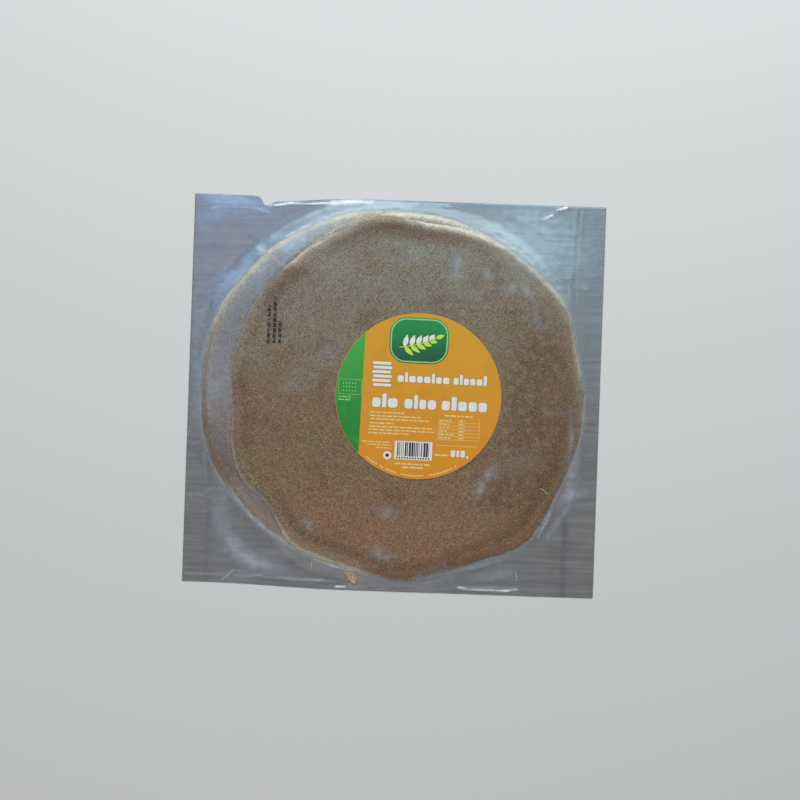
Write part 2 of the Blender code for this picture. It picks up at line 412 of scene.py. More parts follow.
def crepe_mesh(crepe):
    """Closed disc: top rings, then bottom rings back to the middle."""
    angles = np.arange(crepe.sectors) / crepe.sectors * math.tau
    radius = rim_radius(crepe, angles)
    depths = ring_depths(crepe)
    top_shares = np.append(1.0 - depths[:-1] / CREPE_RADIUS, 1.0)
    bottom_shares = np.linspace(1.0, 0.0, BOTTOM_RINGS + 1)[:-1]
    points, pale, toast_and_shade = [], [], []
    for shares, is_top in ((top_shares, True), (bottom_shares, False)):
        for share in shares:
            x = crepe.centre[0] + share * radius * np.cos(angles)
            y = crepe.centre[1] + share * radius * np.sin(angles)
            from_rim = (1.0 - share) * radius
            low, thickness = crepe_top(crepe, x, y, from_rim)
            points.append(np.stack([x, y, low + thickness if is_top else low], 1))
            pale.append(pale_and_lit_rim(crepe, angles, from_rim, x, y))
            toast_and_shade.append(toastedness_and_shade(crepe, angles, from_rim, x, y))
    low, thickness = crepe_top(crepe, *crepe.centre, CREPE_RADIUS)
    middles = [(*crepe.centre, float(low + thickness)), (*crepe.centre, float(low))]
    points = np.concatenate(points + [np.array(middles)])
    painted = [np.concatenate(values + [np.zeros(2)]) for values in (pale, toast_and_shade)]
    return points, painted, len(top_shares)


def add_object(name, data):
    """Puts a mesh, a curve, a light or a camera into the scene."""
    obj = bpy.data.objects.new(name, data)
    bpy.context.scene.collection.objects.link(obj)
    return obj


def mesh_object(name, points, faces):
    mesh = bpy.data.meshes.new(name)
    mesh.from_pydata(points.tolist(), [], faces)
    mesh.shade_smooth()
    return add_object(name, mesh)


def disc_object(name, points, sectors):
    """Closed disc from its rings of points, after which come its upper and its lower middle point."""
    middle = len(points) - 2
    last = middle - sectors
    index = np.arange(sectors)
    following = (index + 1) % sectors
    faces = [(middle, a, b) for a, b in zip(index, following)]
    for inner in range(0, last, sectors):
        outer = inner + sectors
        quads = np.stack([inner + index, outer + index, outer + following, inner + following], 1)
        faces += quads.tolist()
    faces += [(middle + 1, last + b, last + a) for a, b in zip(index, following)]
    return mesh_object(name, points, faces)


def paint(obj, name, values):
    """Stores one number for each point, for materials and Geometry Nodes to read."""
    attribute = obj.data.attributes.new(name, "FLOAT", "POINT")
    attribute.data.foreach_set("value", np.asarray(values, dtype=np.float32))


def make_crepe(crepe):
    points, painted, top_rings = crepe_mesh(crepe)
    obj = disc_object(crepe.name, points, crepe.sectors)
    is_top = np.zeros(len(points))
    is_top[: (top_rings - 2) * crepe.sectors] = 1.0
    is_top[-2] = 1.0
    for name, values in (("rim", painted[0]), ("toast_and_shade", painted[1]), ("top", is_top)):
        paint(obj, name, values)
    return obj


PEEKING_BULGES = ((58, 2.5), (72, 2.5), (84, 4.2), (97, 5.5), (110, 4.0), (133, -0.5))
PEEKING_RIM = UPPER_RIM[:11] + PEEKING_BULGES + UPPER_RIM[16:]
LOWER, UPPER, PEEKING = (LOWER_CENTRE, LOWER_RIM), (UPPER_CENTRE, UPPER_RIM), (UPPER_CENTRE, PEEKING_RIM)
COVERED, HALF_SHOWN, SHOWN = (400, 8, 9.0), (560, 20, 18.0), (720, 92, 97.0)
crepes = [
    Crepe(0, *LOWER, (1.0, 0.5), 1.2, (FLAT, LOWER_PALE, LOWER_TOAST), *COVERED),
    Crepe(1, *LOWER, (-0.4, -0.6), 0.6, (FLAT, LOWER_PALE, LOWER_TOAST), *COVERED),
    Crepe(2, *LOWER, (0.0, 0.0), 0.0, (LOWER_ROLL, LOWER_PALE, LOWER_TOAST), 640, 40, 44.0),
    Crepe(3, *UPPER, (-0.8, 0.4), 1.4, (FLAT, UPPER_PALE, UPPER_TOAST_AND_SHADE), *COVERED),
    Crepe(4, *PEEKING, (-0.3, 0.0), 0.4, (FLAT, PEEK_PALE, UPPER_TOAST_AND_SHADE), *HALF_SHOWN),
    Crepe(5, *UPPER, (0.0, 0.0), 0.0, (UPPER_ROLL, UPPER_PALE, UPPER_TOAST_AND_SHADE), *SHOWN),
]
crepe_objects = [make_crepe(crepe) for crepe in crepes]
print("crepes:", [(obj.name, len(obj.data.polygons)) for obj in crepe_objects])

# %% [markdown]
# ## Pores pressed in by Geometry Nodes
#
# Batter on a hot plate sets full of small bubbles, which leave pits of one to three
# millimetres all over the crepe. A Voronoi texture spreads points at an even random
# distance, like bubbles, so a pit is made wherever a vertex lies near one. The tree
# moves the vertices of the top only, told apart by the painted value, and one tree
# serves all six crepes with its own pore size and depth as inputs.

# %% A helper that builds Geometry Nodes trees


def add_node(tree, kind, settings, values, out):
    """Adds a node, sets it up, feeds its sockets with values or links, and gives one output."""
    node = tree.nodes.new(kind)
    for setting, value in (settings or {}).items():
        setattr(node, setting, value)
    for socket, value in (values or {}).items():
        value = getattr(value, "socket", value)
        if isinstance(value, bpy.types.NodeSocket):
            tree.links.new(value, node.inputs[socket])
        else:
            node.inputs[socket].default_value = value
    return node.outputs[out]


class Tree:
    """A Geometry Nodes tree with named inputs and one method that adds any node."""

    def __init__(self, name, inputs):
        self.tree = bpy.data.node_groups.new(name, "GeometryNodeTree")
        for label, (kind, value) in {"Geometry": ("Geometry", None), **inputs}.items():
            socket = self.tree.interface.new_socket(label, in_out="INPUT", socket_type=f"NodeSocket{kind}")
            if value is not None:
                socket.default_value = value
        self.tree.interface.new_socket("Geometry", in_out="OUTPUT", socket_type="NodeSocketGeometry")
        self.input = self.tree.nodes.new("NodeGroupInput").outputs
        self.output = self.tree.nodes.new("NodeGroupOutput").inputs

    def node(self, kind, settings=None, values=None, out=0):
        return add_node(self.tree, kind, settings, values, out)

    def math(self, operation, first, second=0.0):
        return self.node("ShaderNodeMath", {"operation": operation}, {0: first, 1: second})

    def vector(self, operation, first, second):
        second_socket = "Scale" if operation == "SCALE" else 1
        return self.node("ShaderNodeVectorMath", {"operation": operation}, {0: first, second_socket: second})

    def xyz(self, **parts):
        return self.node("ShaderNodeCombineXYZ", {}, parts)

    def attribute(self, name, kind="FLOAT"):
        return self.node("GeometryNodeInputNamedAttribute", {"data_type": kind}, {"Name": name})

    def moved(self, geometry, offset):
        return self.node("GeometryNodeSetPosition", {}, {"Geometry": geometry, "Offset": offset})

    def realized(self, geometry):
        return self.node("GeometryNodeRealizeInstances", {}, {"Geometry": geometry})

    def scattered(self, instance, turn, scale):
        """The instance at each point that comes in, made real."""
        values = {"Points": self.input["Geometry"], "Instance": instance, "Rotation": turn, "Scale": scale}
        return self.realized(self.node("GeometryNodeInstanceOnPoints", {}, values))

    def finish(self, geometry):
        """Gives the geometry the tree's material and sends it out."""
        values = {"Geometry": geometry, "Material": self.input["Material"]}
        self.tree.links.new(self.node("GeometryNodeSetMaterial", {}, values), self.output["Geometry"])
        return self.tree


def evaluated_mesh(obj):
    """The mesh that an object's modifiers or curve make."""
    bpy.context.view_layer.update()
    evaluated = obj.evaluated_get(bpy.context.evaluated_depsgraph_get())
    return bpy.data.meshes.new_from_object(evaluated)


def run_tree(obj, tree, inputs):
    """Runs a tree on an object and keeps the result as a plain mesh."""
    modifier = obj.modifiers.new("tree", "NODES")
    modifier.node_group = tree
    named = {item.name: item.identifier for item in tree.interface.items_tree if item.in_out == "INPUT"}
    for label, value in inputs.items():
        modifier[named[label]] = value
    result = evaluated_mesh(obj)
    obj.modifiers.remove(modifier)
    first = obj.data
    obj.data = result
    bpy.data.meshes.remove(first)
    obj.data.name = obj.name
    return obj


print("tree helper is ready")

# %% The pore tree
PORE_SIZE = 3.4 * MM
PORE_DEPTH = 0.20 * MM
PORE_REACH = 0.42
GRAIN_SIZE = 7.0 * MM
GRAIN_HEIGHT = 0.10 * MM


def pore_tree():
    inputs = {
        "Pore Size": ("Float", PORE_SIZE),
        "Pore Depth": ("Float", PORE_DEPTH),
        "Grain Size": ("Float", GRAIN_SIZE),
        "Grain Height": ("Float", GRAIN_HEIGHT),
        "Material": ("Material", None),
    }
    tree = Tree("crepe pores", inputs)
    place = tree.node("GeometryNodeInputPosition")
    pore_scale = tree.math("DIVIDE", 1.0, tree.input["Pore Size"])
    distance = tree.node("ShaderNodeTexVoronoi", {}, {"Vector": place, "Scale": pore_scale})
    near = tree.math("SUBTRACT", 1.0, tree.math("DIVIDE", distance, PORE_REACH))
    pit = tree.math("MULTIPLY", tree.math("MAXIMUM", near, 0.0), tree.input["Pore Depth"])
    grain_scale = tree.math("DIVIDE", 1.0, tree.input["Grain Size"])
    noise = tree.node("ShaderNodeTexNoise", {}, {"Vector": place, "Scale": grain_scale, "Detail": 3.0})
    grain = tree.math("MULTIPLY", tree.math("SUBTRACT", noise, 0.5), tree.input["Grain Height"])
    height = tree.math("MULTIPLY", tree.math("SUBTRACT", grain, pit), tree.attribute("top"))
    moved = tree.moved(tree.input["Geometry"], tree.xyz(Z=height))
    return tree.finish(tree.realized(moved))


pores = pore_tree()
print("pore tree has", len(pores.nodes), "nodes")

# %% [markdown]
# ## Shader maths written as Python
#
# A material's pattern is arithmetic on noise, so it reads best as arithmetic. Signal
# wraps one shader socket, and adding or multiplying two signals adds the Math node
# for it. Finish holds a material with its Principled shader and one method that adds
# any other node. Colours are given as the eye reads them on a screen, from 0 to 255,
# and made linear by a formula, because a shader works in linear light.

# %% Signal and Finish


def screen_colour(red, green, blue):
    """A colour read from 0 to 255 on a screen, as the linear colour a shader takes."""
    linear = [((c / 255 + 0.055) / 1.055) ** 2.4 if c > 10 else c / 255 / 12.92 for c in (red, green, blue)]
    return (*linear, 1.0)


class Signal:
    """One shader value. Arithmetic on it adds Math nodes."""

    def __init__(self, finish, socket):
        self.finish = finish
        self.socket = socket

    def math(self, operation, *others):
        values = {index: other for index, other in enumerate((self, *others))}
        return self.finish.node("ShaderNodeMath", {"operation": operation}, values)

    def __add__(self, other):
        return self.math("ADD", other)

    def __mul__(self, other):
        return self.math("MULTIPLY", other)

    def __sub__(self, other):
        return self.math("SUBTRACT", other)

    def __rsub__(self, other):
        return self.finish.node("ShaderNodeMath", {"operation": "SUBTRACT"}, {0: other, 1: self})

    def __truediv__(self, other):
        return self.math("DIVIDE", other)

    __radd__ = __add__
    __rmul__ = __mul__

    def step(self, low, high):
        """0 below low, 1 above high, soft between."""
        settings = {"interpolation_type": "SMOOTHSTEP"}
        values = {"Value": self, "From Min": low, "From Max": high}
        return self.finish.node("ShaderNodeMapRange", settings, values)


class Finish:
    """A material with a Principled shader, and one method that adds any other node."""

    def __init__(self, name, **plain):
        self.material = bpy.data.materials.new(name)
        self.material.use_nodes = True
        self.tree = self.material.node_tree
        self.shader = self.tree.nodes["Principled BSDF"]
        for socket, value in plain.items():
            self.shader.inputs[socket.replace("_", " ")].default_value = value
        self.place = self.node("ShaderNodeTexCoord", out="Object")

    def node(self, kind, settings=None, values=None, out=0):
        return Signal(self, add_node(self.tree, kind, settings, values, out))

    def axis(self, name):
        """How far along one axis a place lies, in metres."""
        return self.node("ShaderNodeSeparateXYZ", {}, {0: self.place}, name)

    def noise(self, size, detail=2.0, place=None):
        values = {"Vector": place or self.place, "Scale": 1.0 / size, "Detail": detail}
        return self.node("ShaderNodeTexNoise", {}, values)

    def cells(self, size):
        """Distance from the nearest of many scattered points, about size apart."""
        return self.node("ShaderNodeTexVoronoi", {}, {"Vector": self.place, "Scale": 1.0 / size})

    def painted(self, name):
        return self.node("ShaderNodeAttribute", {"attribute_name": name}, out="Fac")

    def mix(self, share, *colours):
        """Blends two colours, of which a plain one is given as it reads on a screen."""
        first, second = (screen_colour(*c) if isinstance(c, tuple) else c for c in colours)
        return self.node("ShaderNodeMix", {"data_type": "RGBA"}, {0: share, 6: first, 7: second}, 2)

    def layered(self, colour, *layers):
        """Lays colours over a first one, each by its own share."""
        for share, over in layers:
            colour = self.mix(share, colour, over)
        return colour

    def stretched(self, across, along, turn=0.0):
        """Object coordinates stretched, so that a noise turns to streaks."""
        values = {"Vector": self.place, "Scale": (across, along, 1.0), "Rotation": (0.0, 0.0, turn)}
        return self.node("ShaderNodeMapping", {}, values)

    def feed(self, **signals):
        for socket, signal in signals.items():
            self.tree.links.new(signal.socket, self.shader.inputs[socket.replace("_", " ")])

    def relief(self, height, distance, strength=1.0):
        """Turns a height signal into a bumped normal."""
        values = {"Height": height, "Distance": distance, "Strength": strength}
        self.feed(Normal=self.node("ShaderNodeBump", {}, values))


print("white reads as", screen_colour(255, 255, 255)[:3])

# %% [markdown]
# ## The baked buckwheat surface
#
# Buckwheat gives a grey-brown crepe, speckled dark by hulls and pale by dry flour. It
# is toasted in broad uneven patches and pale and dry at its rim. Its far side is painted
# greyer, a painted reflection of the cool window light in the film, and its near side
# browner. So the colour is built in layers: broad patches, then smaller mottling, then
# specks of a millimetre or two, and at last the toasted band with painted shade inside
# the far rim and the pale rim with a painted highlight, from the painted values. The
# specks also drive a low bump, since every pore is a pit.

# %% Crepe finish
CREPE_WARM = (132, 101, 74)
CREPE_GREY = (130, 125, 106)
CREPE_BROWN = (157, 108, 76)
CREPE_TOASTED = (104, 73, 45)
CREPE_OLIVE = (122, 106, 70)
CREPE_PALE = (170, 155, 130)
CREPE_DARK = (70, 56, 42)
CREPE_BEIGE = (172, 160, 136)
CREPE_RIM_AND_HIGHLIGHT = (245, 235, 213)
DOT_PITCH = 1.7 * MM


def crepe_finish():
    """Broad patches first, then mottle, the toasted band with its painted shade and the pale rim with its
    painted highlight, and at last the pits.
    """
    finish = Finish("buckwheat_crepe", Roughness=0.62, IOR=1.45)
    along = finish.axis("Y")
    broad = finish.noise(70 * MM, 2.0)
    patches = finish.noise(26 * MM, 3.0)
    mottle = finish.noise(7 * MM, 3.0)
    grain = finish.noise(1.15 * MM, 2.0)
    dots = 1.0 - finish.cells(DOT_PITCH)
    # Greyer towards the far side, a painted reflection of the cool window light, broken by broad random tone.
    grey_tone_and_sheen = along.step(-0.06, 0.15) * 0.95 + 1.2 * (broad - 0.5)
    # The toast value is browning, and inside the far rim's roll it is painted shade.
    toast_and_shade = finish.painted("toast_and_shade") * (0.5 + 1.6 * (mottle - 0.3))
    # The rim value is a pale dry rim together with a painted highlight where the rim faces the window light.
    edge = finish.painted("rim") * (0.9 + 0.8 * (mottle - 0.5) + 0.8 * (grain - 0.5))
    uneven = (0.55 + 1.4 * (mottle - 0.35) - 0.5 * edge).step(0.0, 1.0)
    pits = (1.0 - grain).step(0.50, 0.66) * (0.68 - 0.5 * edge).math("MAXIMUM", 0.15)
    colour = finish.layered(
        CREPE_WARM,
        ((0.0 - along).step(0.05, 0.13) * 0.55, CREPE_BROWN),
        (grey_tone_and_sheen.step(0.0, 1.0), CREPE_GREY),
        ((1.0 - patches).step(0.50, 0.68) * 0.55, CREPE_OLIVE),
        (patches.step(0.54, 0.72) * 0.50, CREPE_TOASTED),
        (mottle.step(0.50, 0.74) * 0.32, CREPE_PALE),
        (toast_and_shade.step(0.05, 1.0) * 0.75, CREPE_TOASTED),
        (edge.step(0.0, 0.5) * 0.75, CREPE_BEIGE),
        (edge.step(0.3, 0.95), CREPE_RIM_AND_HIGHLIGHT),
        (grain.step(0.50, 0.70) * 0.44, CREPE_PALE),
        (dots.step(0.55, 0.95) * uneven * 0.6, CREPE_DARK),
        (pits, CREPE_DARK),
    )
    finish.feed(Base_Color=colour, Roughness=0.50 + 0.25 * mottle)
    finish.relief(grain - 0.4 * dots, 0.25 * MM, 0.6)
    return finish.material


crepe_material = crepe_finish()
for crepe_object in crepe_objects:
    run_tree(crepe_object, pores, {"Material": crepe_material})
print("crepes finished:", sum(len(obj.data.polygons) for obj in crepe_objects), "faces")

# %% [markdown]
# ## The film's shape
#
# The bag is a sheet of thin film on top and another below, sealed together all round.
# The upper sheet lies on the crepes and hangs from their rims down to the lower one.
# A cloth simulation could settle it, but a sheet that is pulled tight has a simpler
# rule: each point lies at the mean height of its neighbours, a little lower where the
# air is drawn out, and never below what it rests on. Repeating that on a grid some
# thousand times gives the tents at the rims, exactly and quickly.

# %% The bag's edges and the grid
FILM_STEP = 1.5 * MM
NOTCH_X = -121.0 * MM
NOTCH_SIDE = 6.0 * MM
NOTCH_DEPTH = 3.5 * MM
DRAWN_IN_LENGTH = 85.0 * MM
DRAWN_IN = 5.0 * MM
LIFT_START_X = -40.0 * MM
LIFT_LENGTH = 120.0 * MM
LIFT = 3.0 * MM


def top_edge(x):
    """The bag's far edge, drawn in beside a small notch."""
    notch = NOTCH_DEPTH * ridge(x - NOTCH_X, NOTCH_SIDE)
    right_of_notch = soft_step(-NOTCH_SIDE, 0.0, x - NOTCH_X)
    drawn_in = right_of_notch * soft_step(-DRAWN_IN_LENGTH, 0.0, NOTCH_X - x)
    return HALF_HEIGHT - DRAWN_IN * drawn_in - notch


def bottom_edge(x):
    """The bag's near edge, which rises a little towards the left."""
    return LIFT * soft_step(0.0, LIFT_LENGTH, LIFT_START_X - x) - HALF_HEIGHT


columns = round(2 * HALF_WIDTH / FILM_STEP) + 1
rows = round(2 * HALF_HEIGHT / FILM_STEP) + 1
side = np.linspace(-HALF_WIDTH, HALF_WIDTH, columns)
film_x = np.repeat(side[None, :], rows, axis=0)
share_up = np.linspace(0.0, 1.0, rows)[:, None]
film_y = bottom_edge(film_x) + share_up * (top_edge(film_x) - bottom_edge(film_x))
print("film grid", rows, "by", columns)

# %% What the film rests on
FILM_GAP = 0.16 * MM
BOTTOM_FILM = 0.05 * MM


def stack_height(x, y):
    """Height of the highest crepe at a point, or of the bag's lower sheet beside the stack."""
    height = np.full_like(x, BOTTOM_FILM)
    for crepe in crepes:
        across, along = x - crepe.centre[0], y - crepe.centre[1]
        from_rim = rim_radius(crepe, np.arctan2(along, across)) - np.hypot(across, along)
        low, thickness = crepe_top(crepe, x, y, np.maximum(from_rim, 0.0))
        height = np.where(from_rim > 0.0, np.maximum(height, low + thickness), height)
    return height


def widened(height):
    """Each point takes its highest neighbour, so that a coarse grid still clears a rim."""
    padded = np.pad(height, 1, mode="edge")
    shifts = [padded[r : r + rows, c : c + columns] for r in range(3) for c in range(3)]
    return np.max(shifts, axis=0)


stack = stack_height(film_x, film_y)
support = widened(stack) + FILM_GAP
print("stack top", round(stack.max() / MM, 2), "mm")

# %% Settling the film
SEAL_HEIGHT = 0.35 * MM
SETTLING_STEPS = 1600
PULL_DOWN = 0.012 * MM


def settle(height, floor, steps, pull):
    """Evens out the sheet between its held edges and above its floor."""
    inside = (slice(1, -1), slice(1, -1))
    for _ in range(steps):
        mean = (height[:-2, 1:-1] + height[2:, 1:-1] + height[1:-1, :-2] + height[1:-1, 2:]) / 4
        height[inside] = np.maximum(mean - pull, floor[inside])
    return height


settled = support.copy()
for edge in (settled[0], settled[-1], settled[:, 0], settled[:, -1]):
    edge[:] = SEAL_HEIGHT
settled = settle(settled, support, SETTLING_STEPS, PULL_DOWN)
film_lift = settled - stack
print("film hangs free over", round(float((film_lift > 0.5 * MM).mean()), 2), "of the bag")

# %% [markdown]
# ## Folds, creases and wrinkles
#
# Film keeps every fold that it was given. The long ones are listed as paths
# of a few points with a width and a height: the hem along the near edge, the seam
# down the right side, folds that run along the crepes' rims and creases into the
# corners. The small ones follow rules: fine wrinkles stand square to a rim where the
# sheet gathers round it, and a net of faint creases covers what hangs free.

# %% Long folds
HEM_IN = 5.5 * MM
FOLD_WOBBLE, FOLD_WANDER = 14.0 * MM, 0.8 * MM
FOLD_ENDS = (-0.02, 0.12)


def path_distance(x, y, path):
    """Distance from each point to a path of straight runs, and the share of the way along it."""
    best = np.full_like(x, 1.0)
    along_path = np.zeros_like(x)
    runs = len(path) - 1
    for run, (start, end) in enumerate(zip(path, path[1:])):
        ax, ay, bx, by = (value * MM for value in (*start, *end))
        dx, dy = bx - ax, by - ay
        share = np.clip(((x - ax) * dx + (y - ay) * dy) / (dx * dx + dy * dy), 0.0, 1.0)
        distance = np.hypot(x - ax - share * dx, y - ay - share * dy)
        closer = distance < best
        best = np.where(closer, distance, best)
        along_path = np.where(closer, (run + share) / runs, along_path)
    return best, along_path


class Fold:
    """A fold of the film: its path in millimetres, width, height, its haze with painted sheen, and its
    painted glint.
    """

    def __init__(self, path, width, height, haze_and_sheen, shine):
        self.path = path
        self.width = width * MM
        self.height = height * MM
        self.haze_and_sheen = haze_and_sheen
        self.shine = shine

    def strength(self, x, y):
        """1 on the fold's crest, fading to its sides and its two ends."""
        wander = FOLD_WANDER * soft_noise(x, y, FOLD_WOBBLE, 32)
        distance, along = path_distance(x + wander, y - wander, self.path)
        wobble = 0.85 + 0.4 * soft_noise(x, y, FOLD_WOBBLE, 31)
        ends = soft_step(*FOLD_ENDS, along) * soft_step(*FOLD_ENDS, 1.0 - along)
        return np.exp(-distance / self.width) * ends * np.clip(wobble, 0.2, 1.2)


# Each row gives a fold's path, width, height, haze with painted sheen, and painted glint.
FOLDS = (
    ([(158.6, 178), (157.6, 140), (155.2, 94), (157.0, 62)], 1.2, 0.9, 0.3, 0.1),
    ([(160.0, -70), (157, -110), (159, -176)], 1.2, 0.9, 0.2, 0.0),
    ([(163.5, 178), (162.5, 110), (163.0, 70)], 1.0, 0.5, 0.2, 0.1),
    ([(-164, 178), (-166, 60), (-164.5, -60), (-165.5, -174)], 1.2, 0.6, 0.2, 0.1),
    ([(139, 171.5), (145, 173.5), (151, 176)], 1.2, 1.1, 0.8, 1.0),
    ([(128, 161.5), (133, 165), (139, 168)], 1.4, 0.8, 0.8, 1.0),
    ([(-174, 80), (-163, 92), (-144, 110), (-125, 125), (-101, 148),
      (-70, 163), (-48, 171)], 5.0, 1.1, 0.45, 0.2),
    ([(-178, 96), (-160, 118), (-140, 136), (-108, 160), (-70, 174)], 4.4, 0.4, 0.1, 0.0),
    ([(-176, 163), (-156, 166), (-132, 165), (-112, 160)], 3.4, 0.7, 0.7, 0.4),
    ([(-124, 172.0), (-117.5, 167.2), (-98, 170.2), (-71, 171.3), (-50, 171.6)], 1.0, 0.8, 0.8, 1.4),
    ([(-66, 172.3), (-48, 172.2), (-20, 174.2)], 4.4, 0.6, 0.9, 0.75),
    ([(-28, 174.0), (-4, 173.8), (22, 173.4)], 4.0, 0.6, 0.7, 0.28),
    ([(-4, 175.5), (0, 173.5), (5, 170)], 1.1, 0.5, 0.8, 0.5),
    ([(-123, 116), (-117, 119), (-113, 124)], 1.2, 0.5, 0.6, 0.8),
    ([(-77, 148), (-71, 151.5), (-65, 152.5)], 1.2, 0.4, 0.6, 0.7),
    ([(-126, 112), (-124, 106), (-119, 110)], 1.4, 0.6, 0.8, 0.6),
    ([(-106, 130), (-112, 121), (-108, 114), (-98, 110)], 1.8, 0.6, 0.35, 0.2),
    ([(-143, 84), (-136, 66), (-140, 40), (-148, 0), (-150, -30)], 2.6, 0.5, 0.15, 0.0),
    ([(-166, -84), (-158, -108), (-154, -126), (-141, -143),
      (-122, -156), (-92, -162)], 7.0, 1.1, 0.2, 0.0),
    ([(-170, -40), (-166, -88), (-158, -124), (-150, -150)], 2.6, 0.7, 0.25, 0.1),
    ([(-156, -174), (-138, -162.5), (-110, -166), (-82, -168.5), (-38, -168)], 1.2, 0.9, 0.55, 0.35),
    ([(-48, -172.6), (-42, -172.8), (-36, -172.3)], 1.1, 0.6, 0.8, 1.2),
    ([(60, -170.5), (80, -171.6), (100, -171.4), (122, -170)], 1.1, 0.8, 0.8, 1.2),
    ([(-92, -172), (-60, -173), (-30, -172.5), (10, -171), (60, -172)], 1.6, 0.5, 0.3, 0.2),
    ([(146, -96), (139, -112), (132, -126)], 1.3, 0.9, 0.8, 0.6),
    ([(170, -62), (165, -82), (156, -100), (147, -116), (138, -130)], 4.0, 1.1, 0.45, 0.15),
    ([(158, 0), (161, -40), (156, -76)], 2.8, 0.6, 0.4, 0.1),
    ([(20, -165), (48, -158), (82, -150), (108, -142)], 3.0, 0.7, 0.55, 0.1),
    ([(60, -168), (100, -162), (140, -160), (172, -163)], 1.6, 0.5, 0.25, 0.2),
    ([(60, 160), (92, 149), (120, 130), (141, 106)], 4.2, 0.7, 0.25, 0.05),
    ([(90, 170), (122, 156), (150, 132), (168, 110)], 2.8, 0.6, 0.2, 0.1),
    ([(100, 120), (128, 124), (158, 118)], 1.6, 0.4, 0.4, 0.2),
    ([(152, 118), (156, 104), (174, 102)], 3.0, 0.4, 0.4, 0.1),
    ([(168, 60), (164, 20), (170, -20)], 2.0, 0.5, 0.25, 0.2),
    ([(128, 78), (122, 92), (108, 104)], 1.6, 0.3, 0.2, 0.1),
)
folds = [Fold(*row) for row in FOLDS]
fold_height, fold_haze_and_sheen, fold_shine = (np.zeros_like(film_x) for _ in range(3))
for fold in folds:
    strength = fold.strength(film_x, film_y)
    fold_height = np.maximum(fold_height, strength * fold.height)
    fold_haze_and_sheen = np.maximum(fold_haze_and_sheen, strength * fold.haze_and_sheen)
    fold_shine = np.maximum(fold_shine, strength * fold.shine)
print(len(folds), "folds, highest", round(fold_height.max() / MM, 2), "mm")

# %% Hem, gathers and fine wrinkles
HEM_WIDTH = 1.6 * MM
HEM_HEIGHT = 1.5 * MM
GATHER_HEIGHT = 0.15 * MM
WRINKLE_HEIGHT = 0.55 * MM
CLING_WRINKLE = 0.05 * MM
HEM_WAVES = 38.0 * MM
GATHER_SIZE = 5.0 * MM
GATHER_SPREAD = 0.16
GATHER_OUT, GATHER_REACH = 4.0 * MM, 6.0 * MM
CREASE_WIDTH = 0.09
LONG_CREASES, SHORT_CREASES, CREASE_PATCHES = 16.0 * MM, 9.0 * MM, 40.0 * MM
SEAL_WIDTH = 3.0 * MM


def union_depth(x, y):
    """How far a point lies inside the stack's outline, negative outside it."""
    return np.maximum(depth_inside(x, y, *UPPER), depth_inside(x, y, *LOWER))


def hem(x, y):
    """The welded hem: a ridge just inside the near edge, higher in places."""
    from_edge = y - bottom_edge(x) - HEM_IN
    waviness = 0.55 + 0.45 * soft_noise(x, y * 0.0, HEM_WAVES, 41)
    return HEM_HEIGHT * ridge(from_edge, HEM_WIDTH) * np.clip(waviness, 0.15, 1.0)


def gathers(x, y):
    """Wrinkles square to the rims, where a flat sheet has to follow a round edge."""
    turn, out = np.arctan2(y, x), np.hypot(x, y)
    rays = soft_noise(turn * GATHER_SPREAD, out * GATHER_SPREAD, GATHER_SIZE, 42)
    near_rims = [ridge(depth_inside(x, y, *group) + GATHER_OUT, GATHER_REACH) for group in (UPPER, LOWER)]
    return GATHER_HEIGHT * rays * np.maximum(*near_rims)


def creases(x, y, size, seed):
    """A net of fine creases: the lines where smooth noise crosses its middle."""
    return np.exp(-np.abs(soft_noise(x, y, size, seed)) / CREASE_WIDTH)


def wrinkles(x, y):
    """Fine creases, strong on free film and faint where it clings to a crepe."""
    free = soft_step(2.0 * MM, -8.0 * MM, union_depth(x, y))
    long_way = creases(x * 0.45 + y * 0.2, y, LONG_CREASES, 43)
    short_way = creases(x, y, SHORT_CREASES, 44)
    patchy = soft_step(-0.3, 0.5, soft_noise(x, y, CREASE_PATCHES, 45))
    height = CLING_WRINKLE + (WRINKLE_HEIGHT - CLING_WRINKLE) * free * patchy
    return height * (0.6 * long_way + 0.4 * short_way) * away_from_label(x, y)


def from_border(x, y):
    """Distance from the nearest edge of the bag."""
    to_side = HALF_WIDTH - np.abs(x)
    return np.minimum(to_side, np.minimum(top_edge(x) - y, y - bottom_edge(x)))


seal = soft_step(0.0, SEAL_WIDTH, from_border(film_x, film_y))
relief = fold_height * away_from_label(film_x, film_y) + gathers(film_x, film_y) + wrinkles(film_x, film_y)
shaped = settled + relief * seal + hem(film_x, film_y) * seal
shaped = np.maximum(shaped, support)
print("film top", round(shaped.max() / MM, 2), "mm")

# %% [markdown]
# ## Where the film looks hazy
#
# Clear film is near invisible where it clings to something moist, and milky where it
# stands free, is creased, or has flour on its inside. Three painted values tell the
# material how free the film is, how hazy with its painted sheen, and where a painted
# glint lies. Haze comes from the step between the two groups, the folds, and patches
# whose place, size and turn are listed; the glow outside the outer rim, the thin broken
# line along it and the bright patches along the far edge are painted reflection and
# highlight of the window light, added to the same value.

# %% Haze painted on the film
FLOUR_ON_FILM = 0.24
